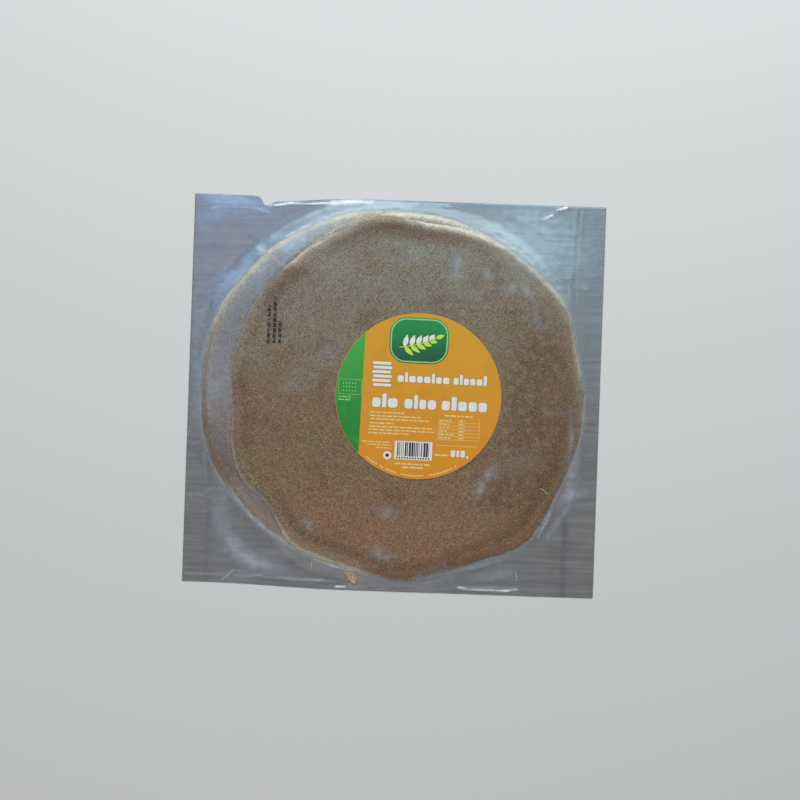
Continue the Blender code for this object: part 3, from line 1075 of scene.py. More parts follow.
# Listed patches of haze. The strong ones along the far edge are painted reflection of the window light.
haze_and_sheen_places = patches(
    (146, 87, 6, 5, 100, 0.24), (125, 78, 6, 3, 80, 0.18), (128, 70, 3, 7, 10, 0.24),
    (-60, 110, 14, 26, -35, 0.08), (163, -62, 5, 22, -12, 0.42), (159, -86, 7, 11, -24, 0.42),
    (171, -82, 12, 5, 14, 0.42), (144, -114, 4, 13, -22, 0.12), (96, -158, 26, 6, 12, 0.45),
    (-152, -112, 9, 24, 10, 0.34), (-160, -150, 14, 14, 0, 0.16), (86, 156, 30, 10, -20, 0.12),
    (127, 147, 46, 29, -35, 0.8), (-136, -141, 24, 9, -46, 0.5), (-112, -156, 26, 8, -16, 0.52),
    (-150, 171, 34, 7, -6, 0.85), (-172, 156, 16, 9, 30, 0.35), (-46, 172, 16, 5, 8, 0.75),
    (-14, 173, 14, 5, 0, 0.6), (-124, 128, 34, 6, 42, 0.16), (166, 20, 5, 40, 0, 0.06),
    (-142, 159, 26, 9, -4, 0.26), (-156, 98, 12, 9, 40, 0.34),
)
HANGING_HAZE = 0.08
BAND_HAZE = (
    (-157, 0.14), (-143, 0.28), (-133, 0.2), (-122, 0.0), (75, 0.0), (98, 0.04), (110, 0.1), (118, 0.4),
    (128, 0.45), (138, 0.38), (150, 0.27), (165, 0.26), (178, 0.36),
)
BAND_START = (
    (-160, 5.0), (-135, 7.0), (-120, 2.0), (90, 0.0), (125, 1.0), (150, 4.0),
)
# The glow outside the rim, by angle, is painted reflection of the window light in the film, strongest towards
# the far side.
GLOW = (
    (-150, 0.14), (-120, 0.08), (-80, 0.2), (-50, 0.04), (-20, 0.04), (15, 0.06), (35, 0.12), (50, 0.08),
    (66, 0.13), (80, 0.26), (95, 0.8), (108, 0.8), (124, 0.6), (150, 0.42), (180, 0.26),
)
GLOW_OUT = 4.0 * MM
GLOW_WIDTH = 8.0 * MM
# A thin broken bright line along the rim: painted highlight where the rim and the film catch the window
# light. RIM_SHINE paints its glints.
RIM_HIGHLIGHT_LINE = (
    (-152, 0.3), (-143, 1.0), (-98, 1.0), (-84, 0.2), (-60, 0.0), (20, 0.15), (40, 0.5), (54, 0.6),
    (72, 0.4), (86, 0.7), (100, 0.9), (140, 0.9), (160, 0.4),
)
RIM_SHINE = (
    (-152, 0.3), (-143, 0.55), (-98, 0.55), (-84, 0.2), (-60, 0.0), (30, 0.1), (56, 0.4), (72, 0.2),
    (98, 0.5), (125, 0.6), (150, 0.2),
)
RIM_LINE_OUT = -0.2 * MM
RIM_LINE_WIDTH = 1.6 * MM
RIM_LINE_SIZE = 10.0 * MM
CLOUDS = 30.0 * MM
SEAM_AT = 157.5 * MM
SEAM_WIDTH = 2.4 * MM
LEFT_SEAM_OUT, LEFT_SEAM_SHARE = 6 * MM, 0.5
FREE_EDGE = (1.0 * MM, -3.0 * MM)
GLOW_EDGE = (1.0 * MM, -2.5 * MM)
STEP_EDGE = (0.0, -6.0 * MM)
BAND_EDGE = (1.5 * MM, 8.0 * MM)
HANGING_GAP = (0.35 * MM, 3.2 * MM)
held_by_flake = Patch(-33, -162.5, 10, 6, -60, 1.1)


def painted_values(x, y):
    """How free the film is, its haze with painted sheen, and its painted glint, each from 0 to 1."""
    upper, lower, peeking = (depth_inside(x, y, *group) for group in (UPPER, LOWER, PEEKING))
    outline = np.maximum(np.maximum(upper, lower), peeking)
    angle = np.arctan2(y, x)
    left_seam = LEFT_SEAM_SHARE * ridge(x + SEAM_AT + LEFT_SEAM_OUT, SEAM_WIDTH)
    seam = np.maximum(ridge(x - SEAM_AT, SEAM_WIDTH), left_seam)
    free = soft_step(*FREE_EDGE, outline) * (0.8 + 0.2 * seam) * (1.0 - held_by_flake.at(x, y))
    hanging = soft_step(*HANGING_GAP, shaped - stack)
    from_step = upper - around(angle, BAND_START) * MM
    over_step = soft_step(*STEP_EDGE, from_step)
    band = around(angle, BAND_HAZE) * over_step * soft_step(*BAND_EDGE, lower)
    outside = soft_step(*GLOW_EDGE, outline)
    glow = around(angle, GLOW) * ridge(outline + GLOW_OUT, GLOW_WIDTH) * outside
    # The rim line is a painted highlight, added to the haze and to the glints.
    broken = np.clip(0.8 + 0.5 * soft_noise(x, y, RIM_LINE_SIZE, 54), 0.2, 1.2)
    line = around(angle, RIM_HIGHLIGHT_LINE) * ridge(outline + RIM_LINE_OUT, RIM_LINE_WIDTH) * broken
    cloudy = 1.0 + 0.5 * soft_noise(x, y, CLOUDS, 52) + 0.3 * soft_noise(x * 0.3, y, CLOUDS, 53)
    haze_and_sheen = band * (0.7 + 0.3 * cloudy) + (HANGING_HAZE * hanging + glow) * cloudy
    haze_and_sheen = haze_and_sheen + FLOUR_ON_FILM * sum(place.at(x, y) for place in floury_places)
    haze_and_sheen = haze_and_sheen + sum(place.at(x, y, 0.3) for place in haze_and_sheen_places)
    haze_and_sheen = np.maximum(haze_and_sheen, fold_haze_and_sheen) + 0.7 * line
    shine = np.maximum(fold_shine, line * around(angle, RIM_SHINE))
    return [np.clip(value, 0.0, 1.0) for value in (free, haze_and_sheen, shine)]


free, haze_and_sheen, shine = painted_values(film_x, film_y)
print("haze on average", round(float(haze_and_sheen.mean()), 2), "shine", round(float(shine.mean()), 3))

# %% Film mesh: the shaped sheet above, a flat one below


def film_mesh():
    """One closed skin: the grid above and a single flat face below, joined along the border."""
    points = np.stack([film_x, film_y, shaped], 2).reshape(-1, 3)
    index = np.arange(rows * columns).reshape(rows, columns)
    quads = np.stack([index[:-1, :-1], index[:-1, 1:], index[1:, 1:], index[1:, :-1]], 2).reshape(-1, 4)
    border = np.concatenate([index[0, :-1], index[:-1, -1], index[-1, :0:-1], index[:0:-1, 0]])
    below = points[border].copy()
    below[:, 2] = BOTTOM_FILM
    first = len(points)
    ring = np.arange(len(border))
    following = (ring + 1) % len(border)
    walls = np.stack([first + ring, first + following, border[following], border[ring]], 1)
    bottom = (first + ring[::-1]).tolist()
    return np.concatenate([points, below]), quads.tolist() + walls.tolist() + [bottom], len(border)


points, faces, border_count = film_mesh()
film = mesh_object("film", points, faces)
for name, values, below in (("free", free, 0.2), ("haze_and_sheen", haze_and_sheen, 0.0), ("shine", shine, 0.0)):
    paint(film, name, np.concatenate([values.ravel(), np.full(border_count, below)]))
print("film faces:", len(film.data.polygons))

# %% [markdown]
# ## The film's finish
#
# Film lets light through unchanged, mirrors a little of it, and is milky where it is
# hazy. One Principled shader with low Alpha does this. But Alpha thins out the mirror
# too. So clear film takes some Metallic, which turns what is left of it to mirror, and
# haze takes none. The brightest creases are too fine to come out of the mirror at this
# size, so they are painted near white by the third value. A bump of drawn streaks and
# fine wrinkles breaks up the highlights.

# %% Film finish
# Film colours near and far, left and right. Towards the far side and the right they are bluer and lighter, a
# painted reflection of the window light. Near the camera they are darker grey.
CLEAR_NEAR = (92, 91, 94)
CLEAR_LEFT = (98, 112, 138)
CLEAR_RIGHT = (120, 148, 164)
MILKY_NEAR = (188, 194, 204)
MILKY_LEFT = (166, 196, 230)
MILKY_RIGHT = (180, 204, 214)
FILM_WHITE = (246, 248, 250)
CLING_ALPHA = 0.06
FREE_ALPHA = 0.56
MILKY_ALPHA = 0.78


def film_finish():
    finish = Finish("clear_film", IOR=1.6, Roughness=0.16)
    far = finish.axis("Y").step(-0.10, 0.16)
    across = finish.axis("X")
    free = finish.painted("free")
    cloud = finish.noise(12 * MM, 3.0)
    mottle = finish.noise(3.5 * MM, 3.0)
    streaks = finish.noise(3.0 * MM, 2.0, finish.stretched(0.05, 1.0, 0.02))
    flecks = finish.noise(1.6 * MM, 1.0)
    uneven = 0.8 * cloud + 1.2 * (free * streaks + (1.0 - free) * mottle)
    # milky is the painted haze together with the painted sheen that it carries.
    milky = (finish.painted("haze_and_sheen") * uneven).math("MINIMUM", 1.0)
    glint = (finish.painted("shine") * (0.4 + 0.7 * flecks + 0.6 * streaks)).step(0.25, 0.9)
    clear = CLING_ALPHA + (FREE_ALPHA - CLING_ALPHA) * free * (0.50 + 0.3 * cloud + 0.7 * streaks)
    alpha = clear + MILKY_ALPHA * milky
    # Colour by place: the bluer, lighter far side is a painted reflection of the window light.
    clear_far = finish.mix(across.step(-0.10, 0.15), CLEAR_LEFT, CLEAR_RIGHT)
    clear_colour = finish.mix(far, CLEAR_NEAR, clear_far)
    milky_far = finish.mix(across.step(-0.165, -0.06), MILKY_LEFT, MILKY_RIGHT)
    milky_colour = finish.mix(far, MILKY_NEAR, milky_far)
    colour = finish.mix(MILKY_ALPHA * milky / alpha, clear_colour, milky_colour)
    alpha = alpha.math("MAXIMUM", 0.95 * glint).math("MINIMUM", 0.95)
    finish.feed(
        Base_Color=finish.mix(glint, colour, FILM_WHITE),
        Alpha=alpha,
        Metallic=(0.5 - 1.6 * milky - 0.5 * glint).math("MAXIMUM", 0.0),
        Roughness=0.13 + 0.10 * cloud + 0.12 * milky,
    )
    finish.relief(streaks * 0.35 + cloud * 0.8 + flecks * 0.12, 0.5 * MM, 0.5)
    return finish.material


film.data.materials.append(film_finish())
print("film material:", film.data.materials[0].name)

# %% [markdown]
# ## The label
#
# A round paper label is stuck on the bag over the middle of the stack. It is a disc
# with a softly rounded upper edge, turned on a formula and not cut from a cylinder,
# so that the edge catches light. Its frame of reference is the label's own: all
# print is placed in millimetres from the label's centre, and turned with it.

# %% Label disc
LABEL_TURN = math.radians(-0.9)
LABEL_SECTORS = 256
LABEL_BOTTOM = 7.52 * MM
LABEL_TOP = 7.92 * MM
LABEL_EDGE = 0.16 * MM
LABEL_INSIDE = LABEL_RADIUS * 0.5
EDGE_STEPS = 3
SHARP_ANGLE = math.radians(40)
LABEL_ORANGE, LABEL_LOWER = (209, 150, 26), (217, 141, 23)
LABEL_BLOTCH, LABEL_FIBRE = (196, 128, 26), (226, 168, 56)


def on_label(x, y):
    """From millimetres about the label's centre to the bag's frame."""
    across, along = turned(x, y, LABEL_TURN)
    return LABEL_X + across * MM, LABEL_Y + along * MM


def make_label():
    profile = [(LABEL_INSIDE, LABEL_TOP), (LABEL_RADIUS - 2 * LABEL_EDGE, LABEL_TOP)]
    for step in range(EDGE_STEPS + 1):
        turn = step / EDGE_STEPS * math.pi / 2
        out = LABEL_RADIUS - LABEL_EDGE + LABEL_EDGE * math.sin(turn)
        profile.append((out, LABEL_TOP - LABEL_EDGE + LABEL_EDGE * math.cos(turn)))
    profile += [(LABEL_RADIUS, LABEL_BOTTOM), (LABEL_INSIDE, LABEL_BOTTOM)]
    angles = np.arange(LABEL_SECTORS) / LABEL_SECTORS * math.tau
    rings = [
        np.stack([LABEL_X + r * np.cos(angles), LABEL_Y + r * np.sin(angles), np.full_like(angles, z)], 1)
        for r, z in profile
    ]
    middles = np.array([[LABEL_X, LABEL_Y, LABEL_TOP], [LABEL_X, LABEL_Y, LABEL_BOTTOM]])
    label = disc_object("label_disc", np.concatenate(rings + [middles]), LABEL_SECTORS)
    label.data.set_sharp_from_angle(angle=SHARP_ANGLE)
    return label


def label_finish():
    finish = Finish("label_paper", Roughness=0.42, IOR=1.45)
    lower = finish.axis("Y").step(0.05, -0.07)
    blotch = finish.noise(14 * MM, 3.0)
    fibre = finish.noise(1.2 * MM, 2.0)
    colour = finish.layered(
        LABEL_ORANGE,
        (lower, LABEL_LOWER),
        (blotch.step(0.45, 0.75) * 0.35, LABEL_BLOTCH),
        (fibre.step(0.5, 0.8) * 0.22, LABEL_FIBRE),
    )
    finish.feed(Base_Color=colour, Roughness=0.36 + 0.16 * blotch)
    finish.relief(fibre + blotch * 2.0, 0.08 * MM, 0.5)
    return finish.material


label = make_label()
label.data.materials.append(label_finish())
print("label spans", [round(side / MM, 1) for side in label.dimensions])

# %% [markdown]
# ## Printing with stretched tiles
#
# Everything printed is a thin rounded tile: a block that stands for a letter, a line
# of a table, a bar of the stripe code. Scaling one tile would squash its corners, so
# the Geometry Nodes tree works as a nine-patch picture does: it puts a small round
# disc at each point, then pulls the disc's four quarters apart by that point's size.
# The corners keep their radius. No words are printed: blocks of the same scale and
# rhythm stand in their place.

# %% The tile tree
SMALL_SIDES, LARGE_SIDES = 16, 64
INK = 0.03 * MM


def tile_tree():
    inputs = {"Sides": ("Int", SMALL_SIDES), "Ink": ("Float", INK), "Material": ("Material", None)}
    tree = Tree("print tiles", inputs)
    values = {"Vertices": tree.input["Sides"], "Radius": 1.0, "Depth": tree.input["Ink"]}
    disc = tree.node("GeometryNodeMeshCylinder", {"fill_type": "NGON"}, values)
    half_step = tree.xyz(Z=tree.math("DIVIDE", math.pi, tree.input["Sides"]))
    disc = tree.node("GeometryNodeTransform", {}, {"Geometry": disc, "Rotation": half_step})
    quarter = tree.vector("SIGN", tree.node("GeometryNodeInputPosition"), (0.0, 0.0, 0.0))
    settings = {"data_type": "FLOAT_VECTOR", "domain": "POINT"}
    values = {"Geometry": disc, "Name": "quarter", "Value": quarter}
    disc = tree.node("GeometryNodeStoreNamedAttribute", settings, values)
    turn, radius = tree.attribute("turn"), tree.attribute("corner")
    whole = tree.scattered(disc, tree.xyz(Z=turn), tree.xyz(X=radius, Y=radius, Z=1.0))
    reach = tree.xyz(X=tree.attribute("reach_x"), Y=tree.attribute("reach_y"))
    pull = tree.vector("MULTIPLY", tree.attribute("quarter", "FLOAT_VECTOR"), reach)
    values = {"Vector": pull, "Angle": turn}
    moved = tree.moved(whole, tree.node("ShaderNodeVectorRotate", {"rotation_type": "Z_AXIS"}, values))
    for used in ("quarter", "turn", "corner", "reach_x", "reach_y"):
        moved = tree.node("GeometryNodeRemoveAttribute", {}, {"Geometry": moved, "Name": used})
    return tree.finish(moved)


tiles_tree = tile_tree()
print("tile tree has", len(tiles_tree.nodes), "nodes")

# %% Tiles as Python values, and a press that prints a list of them
LAYER = 0.012 * MM


class Tile:
    """A rounded tile in label millimetres: centre, width, height, corner radius, turn."""

    def __init__(self, x, y, wide, high, corner=0.2, turn=0.0):
        self.place = (x, y)
        self.corner = min(corner, wide / 2, high / 2)
        self.reach = (wide / 2 - self.corner, high / 2 - self.corner)
        self.turn = turn

    def widened(self, rim):
        """The same tile with a rim added all round."""
        half_wide, half_high = (reach + self.corner + rim for reach in self.reach)
        return Tile(*self.place, 2 * half_wide, 2 * half_high, self.corner + rim, self.turn)


def box_tile(left, right, low, high, corner=0.2):
    return Tile((left + right) / 2, (low + high) / 2, right - left, high - low, corner)


def press(name, tiles, material, layer, sides=SMALL_SIDES):
    """Prints the tiles as one piece. A higher layer lies over a lower one."""
    z = LABEL_TOP + INK / 2 + layer * LAYER
    points = np.array([(*on_label(*tile.place), z) for tile in tiles])
    obj = mesh_object(name, points, [])
    paint(obj, "corner", [tile.corner * MM for tile in tiles])
    for axis, attribute in enumerate(("reach_x", "reach_y")):
        paint(obj, attribute, [tile.reach[axis] * MM for tile in tiles])
    paint(obj, "turn", [tile.turn + LABEL_TURN for tile in tiles])
    return run_tree(obj, tiles_tree, {"Sides": sides, "Material": material})


def ink(name, colour, worn):
    """Printing ink: one colour, a little worn and uneven, less glossy than the paper."""
    finish = Finish(name, Roughness=0.5, IOR=1.45)
    wear = finish.noise(1.5 * MM, 3.0)
    cloud = finish.noise(9 * MM, 2.0)
    layers = ((wear.step(0.52, 0.78) * 0.5, worn), (cloud.step(0.45, 0.8) * 0.3, worn))
    finish.feed(Base_Color=finish.layered(colour, *layers), Roughness=0.38 + 0.2 * cloud)
    return finish.material


white_ink = ink("white_ink", (226, 226, 218), (208, 204, 184))
cream_ink = ink("cream_ink", (232, 204, 140), (222, 180, 96))
shadow_ink = ink("shadow_ink", (170, 122, 66), (186, 130, 50))
navy_ink = ink("navy_ink", (34, 38, 62), (58, 58, 78))
black_ink = ink("black_ink", (40, 34, 26), (56, 48, 38))
pale_green_ink = ink("pale_green_ink", (150, 208, 138), (112, 184, 104))
print("inks:", [material.name for material in bpy.data.materials if "ink" in material.name])

# %% [markdown]
# ## Blocks for words and lines
#
# A row of blocks reads as writing when its blocks differ in width, some stand taller,
# and gaps part them into words. The helper draws those from a seeded random source,
# so the rows look set by hand and stay the same on each run.

# %% Rows of blocks
print_random = random.Random(7)
RISER_EVERY, RISER_AT, RISER_WIDTH = 4, 1, 0.5
BLOCK_VARIES, BLOCK_ROUND = (0.85, 1.15), 0.34
SMALL_WIDTHS, SMALL_SHORTEST, SMALL_GAP, SMALL_ROUND = (2.2, 6.5), 1.0, 0.8, 0.4


def word(left, right, baseline, body, tall, wide, gap):
    """Blocks from left to right on a baseline. A few are narrow and rise to the tall height."""
    count = max(1, round((right - left + gap) / (wide + gap)))
    rises = [index % RISER_EVERY == RISER_AT for index in range(count)]
    shares = [print_random.uniform(*BLOCK_VARIES) * (RISER_WIDTH if rise else 1.0) for rise in rises]
    space = (right - left) - gap * (count - 1)
    tiles, x = [], left
    for share, rise in zip(shares, rises):
        width = space * share / sum(shares)
        high = tall if rise else body
        corner = BLOCK_ROUND * min(width, body)
        tiles.append(Tile(x + width / 2, baseline + high / 2, width, high, corner))
        x += width + gap
    return tiles


def small_line(left, right, y, high):
    """A line of small print: short words of one height."""
    tiles, x = [], left
    while x < right - SMALL_SHORTEST:
        wide = min(print_random.uniform(*SMALL_WIDTHS), right - x)
        tiles.append(Tile(x + wide / 2, y, wide, high, SMALL_ROUND))
        x += wide + SMALL_GAP
    return tiles


UPPER_ROW = (12.0, 6.0, 9.0, 4.6, 1.0)
LOWER_ROW = (-11.4, 8.6, 12.4, 7.0, 1.3)
CREPE_BARS = 6
headline = word(-19.4, 27.1, *UPPER_ROW) + word(30.7, 60.5, *UPPER_ROW)
for left, right in ((-41.0, -18.2), (-12.2, 16.2), (21.2, 61.7)):
    headline += word(left, right, *LOWER_ROW)
for bar in range(CREPE_BARS):
    headline.append(Tile(-33.4 + (0.5, -0.5)[bar % 2], 8.6 + bar * 3.9, 16.8, 2.5, 1.2))
weight = word(31.4, 44.1, -52.6, 6.0, 6.0, 3.2, 1.2) + [Tile(46.4, -52.4, 1.8, 2.4, 0.6)]
SHADOW_RIM = 0.45
shadow = [tile.widened(SHADOW_RIM) for tile in headline]
shadow_print = press("print_shadow", shadow, shadow_ink, 0)
white_print = press("print_white", headline + weight, white_ink, 1)
print(len(headline + weight), "white blocks")

# %% Small print, table and rules
TABLE_LEFT, TABLE_RIGHT = 19.3, 55.7
TABLE_TOP, TABLE_ROWS, TABLE_PITCH = -19.0, 6, 3.1
RULE = 0.32
SMALL_LINES = (
    (-42.4, -9.9, -16.0, 1.15), (-42.4, 4.4, -19.1, 1.15), (-42.4, 10.1, -22.0, 1.15),
    (-42.4, -20.5, -25.7, 1.15), (-43.0, 13.5, -28.7, 1.15), (-43.0, 15.2, -31.6, 1.15),
    (-43.0, -5.9, -34.5, 1.15), (-48.5, -22.2, -42.4, 0.95), (-43.8, -21.8, -44.9, 0.95),
    (-35.6, -21.9, -47.6, 0.95), (24.5, 49.3, -16.1, 1.3), (17.2, 29.3, -51.6, 1.3),
    (-18.2, 13.7, -61.0, 1.3), (-11.5, 7.2, -64.0, 1.3),
)
small = [tile for row in SMALL_LINES for tile in small_line(*row)]
for row in range(TABLE_ROWS):
    y = TABLE_TOP - 1.5 - row * TABLE_PITCH
    small += small_line(TABLE_LEFT + 0.8, print_random.uniform(28.0, 35.0), y, 1.1)
    small.append(Tile(39.6, y, 3.4, 1.2, 0.4))
    small.append(box_tile(TABLE_LEFT, TABLE_RIGHT, y - 1.7, y - 1.7 + RULE, 0.1))
for x in (TABLE_LEFT, 37.0, 42.0, TABLE_RIGHT):
    small.append(box_tile(x, x + RULE, TABLE_TOP - TABLE_ROWS * TABLE_PITCH, TABLE_TOP - 0.2, 0.1))
small.append(box_tile(17.8, 54.7, -43.1, -42.7, 0.1))
RIM_TEXT_RADIUS = 71.2
RIM_TEXT_BLOCKS, RIM_TEXT_START, RIM_TEXT_STEP = 46, 231.0, 1.66
BLOCK_SHARE = 0.82
for step in range(RIM_TEXT_BLOCKS):
    angle = math.radians(RIM_TEXT_START + step * RIM_TEXT_STEP)
    if print_random.random() < BLOCK_SHARE:
        x, y = RIM_TEXT_RADIUS * math.cos(angle), RIM_TEXT_RADIUS * math.sin(angle)
        small.append(Tile(x, y, 1.55, 1.3, 0.4, angle + math.pi / 2))
small_print = press("print_small", small, cream_ink, 1)
print(len(small), "small blocks and rules")

# %% Stripe code, its figures as plain ticks, and a round spot
CODE_LEFT, CODE_RIGHT, CODE_TOP, CODE_LOW = -19.0, 14.7, -40.6, -57.1
TICKS, TICK_PITCH = 13, 2.35
SPOT = (-25.2, -54.0)
code_ground = press("code_ground", [box_tile(CODE_LEFT, CODE_RIGHT, CODE_LOW, CODE_TOP, 0.3)], white_ink, 1)
stripes, x = [], CODE_LEFT + 2.4
while x < CODE_RIGHT - 2.6:
    wide = print_random.choice((0.45, 0.45, 0.9, 0.9, 1.35, 1.8))
    stripes.append(box_tile(x, x + wide, CODE_LOW + 3.0, CODE_TOP - 0.9, 0.05))
    x += wide + print_random.choice((0.45, 0.6, 0.9, 1.2))
for tick in range(TICKS):
    stripes.append(Tile(CODE_LEFT + 2.6 + tick * TICK_PITCH, CODE_LOW + 1.5, 1.4, 1.7, 0.6))
stripes.append(Tile(*SPOT, 3.4, 3.4, 1.7))
code_stripes = press("code_stripes", stripes, navy_ink, 3)
spot_ground = press("spot_ground", [Tile(*SPOT, 7.4, 7.4, 3.7)], white_ink, 2)
print(len(stripes), "stripes and ticks")

# %% [markdown]
# ## The green side and the badge
#
# A slice of the label is green, cut off by a straight line, and a dark green badge
# with a pale rim stands at the top. The badge here is a rounded block with a leafy
# sprig, made up for this lesson: leaves in pairs on a stem, each a lens shape drawn
# by one formula, half of them white and half yellow-green.

# %% Flat shapes from an outline


def flat_shape(name, outlines, material, layer):
    """Closed thin solids from outlines in label millimetres, one for each outline."""
    vertices, faces = [], []
    low = LABEL_TOP + layer * LAYER
    for outline in outlines:
        first, count = len(vertices), len(outline)
        for z in (low + INK, low):
            vertices += [(*on_label(x, y), z) for x, y in outline]
        faces.append(tuple(range(first, first + count)))
        faces.append(tuple(range(first + 2 * count - 1, first + count - 1, -1)))
        for corner in range(count):
            following = (corner + 1) % count
            a, b = first + corner, first + following
            faces.append((a, a + count, b + count, b))
    obj = mesh_object(name, np.array(vertices), faces)
    obj.data.shade_flat()
    obj.data.materials.append(material)
    return obj


def green_finish(name, bottom, top, low, high, paler):
    """Green print that grows lighter towards the label's far side."""
    finish = Finish(name, Roughness=0.45, IOR=1.45)
    along = finish.axis("Y")
    blotch = finish.noise(7 * MM, 3.0)
    layers = ((along.step(low, high), top), (blotch.step(0.45, 0.8) * 0.30, paler))
    finish.feed(Base_Color=finish.layered(bottom, *layers), Roughness=0.36 + 0.18 * blotch)
    return finish.material


SEGMENT_TOP = (-49.6, 54.0)
SEGMENT_LOW = (-51.0, -53.5)
SEGMENT_RADIUS = 73.9
SEGMENT_STEPS = 48
start = math.atan2(SEGMENT_TOP[1], SEGMENT_TOP[0])
end = math.atan2(SEGMENT_LOW[1], SEGMENT_LOW[0]) + math.tau
turns = [start + (end - start) * step / SEGMENT_STEPS for step in range(SEGMENT_STEPS + 1)]
segment = [(SEGMENT_RADIUS * math.cos(turn), SEGMENT_RADIUS * math.sin(turn)) for turn in turns]
side_green = green_finish("side_green", (26, 131, 42), (60, 164, 68), -0.03, 0.06, (78, 165, 76))
green_side = flat_shape("green_side", [segment], side_green, 0)
FRAME = (-71.6, -51.3, -1.4, 12.0)
left, right, low, high = FRAME
seal_tiles = [box_tile(left - 0.05, right + RULE + 0.05, y, y + RULE, 0.1) for y in (low, high)]
seal_tiles += [box_tile(x, x + RULE, low - 0.05, high + RULE + 0.05, 0.1) for x in (left, right)]
for column in range(5):
    for row in range(3):
        seal_tiles.append(Tile(left + 4.2 + 2.7 * column, low + 3.4 + 3.3 * row, 1.2, 1.2, 0.6))
seal_tiles += small_line(-71.4, -60.6, -3.6, 1.0) + small_line(-71.4, -59.4, -6.2, 1.0)
green_marks = press("green_marks", seal_tiles, pale_green_ink, 3)
print("green side has", len(segment), "corners")

# %% Badge with a leafy sprig
BADGE = (-1.7, 49.6)
BADGE_WIDE, BADGE_HIGH = 53.0, 41.0
badge_green = green_finish("badge_green", (4, 84, 50), (14, 138, 70), 0.030, 0.068, (24, 120, 60))
badge_layers = (
    ("badge_line", 0.0, badge_green, 1),
    ("badge_rim", 0.9, pale_green_ink, 2),
    ("badge_field", 2.0, badge_green, 3),
)
badge = []
for name, inset, material, layer in badge_layers:
    size = (BADGE_WIDE - 2 * inset, BADGE_HIGH - 2 * inset)
    badge.append(press(name, [Tile(*BADGE, *size, 15.0 - inset)], material, layer, LARGE_SIDES))


LEAF_STEPS, STEM_STEPS = 10, 40
STEM_LEFT, STEM_LOW = BADGE[0] - 17.0, BADGE[1] - 6.5
STEM_LONG, STEM_RISE, STEM_SAG = 33.0, 10.0, 6.0
LEAF_PAIRS, FIRST_PAIR_AT, PAIR_STEP = 5, 0.12, 0.17
FIRST_LEAF_LONG, LEAF_SHRINKS = 11.5, 1.1


def leaf(x, y, turn, long, wide):
    """A lens-shaped leaf that starts at a point and grows in the direction of turn."""
    shares = [step / LEAF_STEPS for step in range(LEAF_STEPS + 1)]
    upper = [(share * long, wide * math.sin(math.pi * share**0.8)) for share in shares]
    lower = [(u, -v) for u, v in reversed(upper[1:-1])]
    outline = (turned(*corner, turn) for corner in (lower + upper)[::-1])
    return [(x + across, y + along) for across, along in outline]


def stem_point(share):
    rise = STEM_RISE * share - STEM_SAG * share * (1.0 - share)
    return STEM_LEFT + STEM_LONG * share, STEM_LOW + rise


white_leaves, lime_leaves = [], []
for pair in range(LEAF_PAIRS):
    x, y = stem_point(FIRST_PAIR_AT + PAIR_STEP * pair)
    long = FIRST_LEAF_LONG - LEAF_SHRINKS * pair
    white_leaves.append(leaf(x, y, math.radians(78 - 6 * pair), long, 2.3))
    lime_leaves.append(leaf(x, y, math.radians(-42 + 8 * pair), long, 2.0))
lime_leaves.append(leaf(*stem_point(0.97), math.radians(22), 8.0, 1.9))
stem = [Tile(*stem_point(step / STEM_STEPS), 0.9, 0.9, 0.45) for step in range(STEM_STEPS + 1)]
lime_ink = ink("lime_ink", (196, 222, 70), (160, 206, 60))
badge.append(flat_shape("sprig_white", white_leaves, white_ink, 4))
badge.append(flat_shape("sprig_lime", lime_leaves, lime_ink, 4))
badge.append(press("sprig_stem", stem, lime_ink, 5))
print("badge pieces:", [piece.name for piece in badge])

# %% [markdown]
# ## Date marks on the film
#
# Three columns of tiny dark dots are sprayed on the film near the left rim. They
# stand on the film's own height, which is read from the settled grid, so they follow
# it. Plain random dots stand for the figures.

# %% Reading the film's height, and the dots


def film_height(x, y):
    """Height of the film at a point, from the nearest grid point."""
    column = int(round((x + HALF_WIDTH) / FILM_STEP))
    low, high = (float(edge(np.array(x))) for edge in (bottom_edge, top_edge))
    row = int(round((y - low) / (high - low) * (rows - 1)))
    return float(shaped[row, column])


DOT_COLUMNS = ((-114.0, 43.8, 78.0), (-108.9, 44.0, 86.2), (-104.0, 44.1, 64.8))
DOT_STEP = 0.95
DOT_RADIUS = 0.53 * MM
DOT_CLEAR = 0.10 * MM
DOT_STRETCH, DOT_TURN = 0.05 * MM, 0.03
MARK_ROWS, MARK_COLUMNS = 5, 3
dot_random = random.Random(3)
dots = []
for x, low, high in DOT_COLUMNS:
    for step in range(int((high - low) / DOT_STEP)):
        if step % MARK_ROWS == MARK_ROWS - 1:
            continue
        for side_step in range(MARK_COLUMNS):
            if dot_random.random() < BLOCK_SHARE:
                dots.append((x + (side_step - 1) * DOT_STEP, low + step * DOT_STEP))
points = np.array([(x * MM, y * MM, film_height(x * MM, y * MM) + DOT_CLEAR) for x, y in dots])
date_marks = mesh_object("date_marks", points, [])
for name, value in (("corner", DOT_RADIUS), ("reach_x", DOT_STRETCH), ("reach_y", 0.0), ("turn", DOT_TURN)):
    paint(date_marks, name, np.full(len(points), value))
run_tree(date_marks, tiles_tree, {"Material": black_ink})
print(len(dots), "dots")

# %% [markdown]
# ## Crumbs, a loose flake and nicks
#
# A pack that was carried about has crumbs in it. They gather in the tents of film
# along the rims, where nothing presses on them. Each is a rough little lump: the tree
# puts a low-sided ball at each point, turns and scales it, and a noise knocks it out
# of round. At the near rim a flake has broken out of a crepe's edge. A few hairline
# nicks and a fibre lie on the film itself.

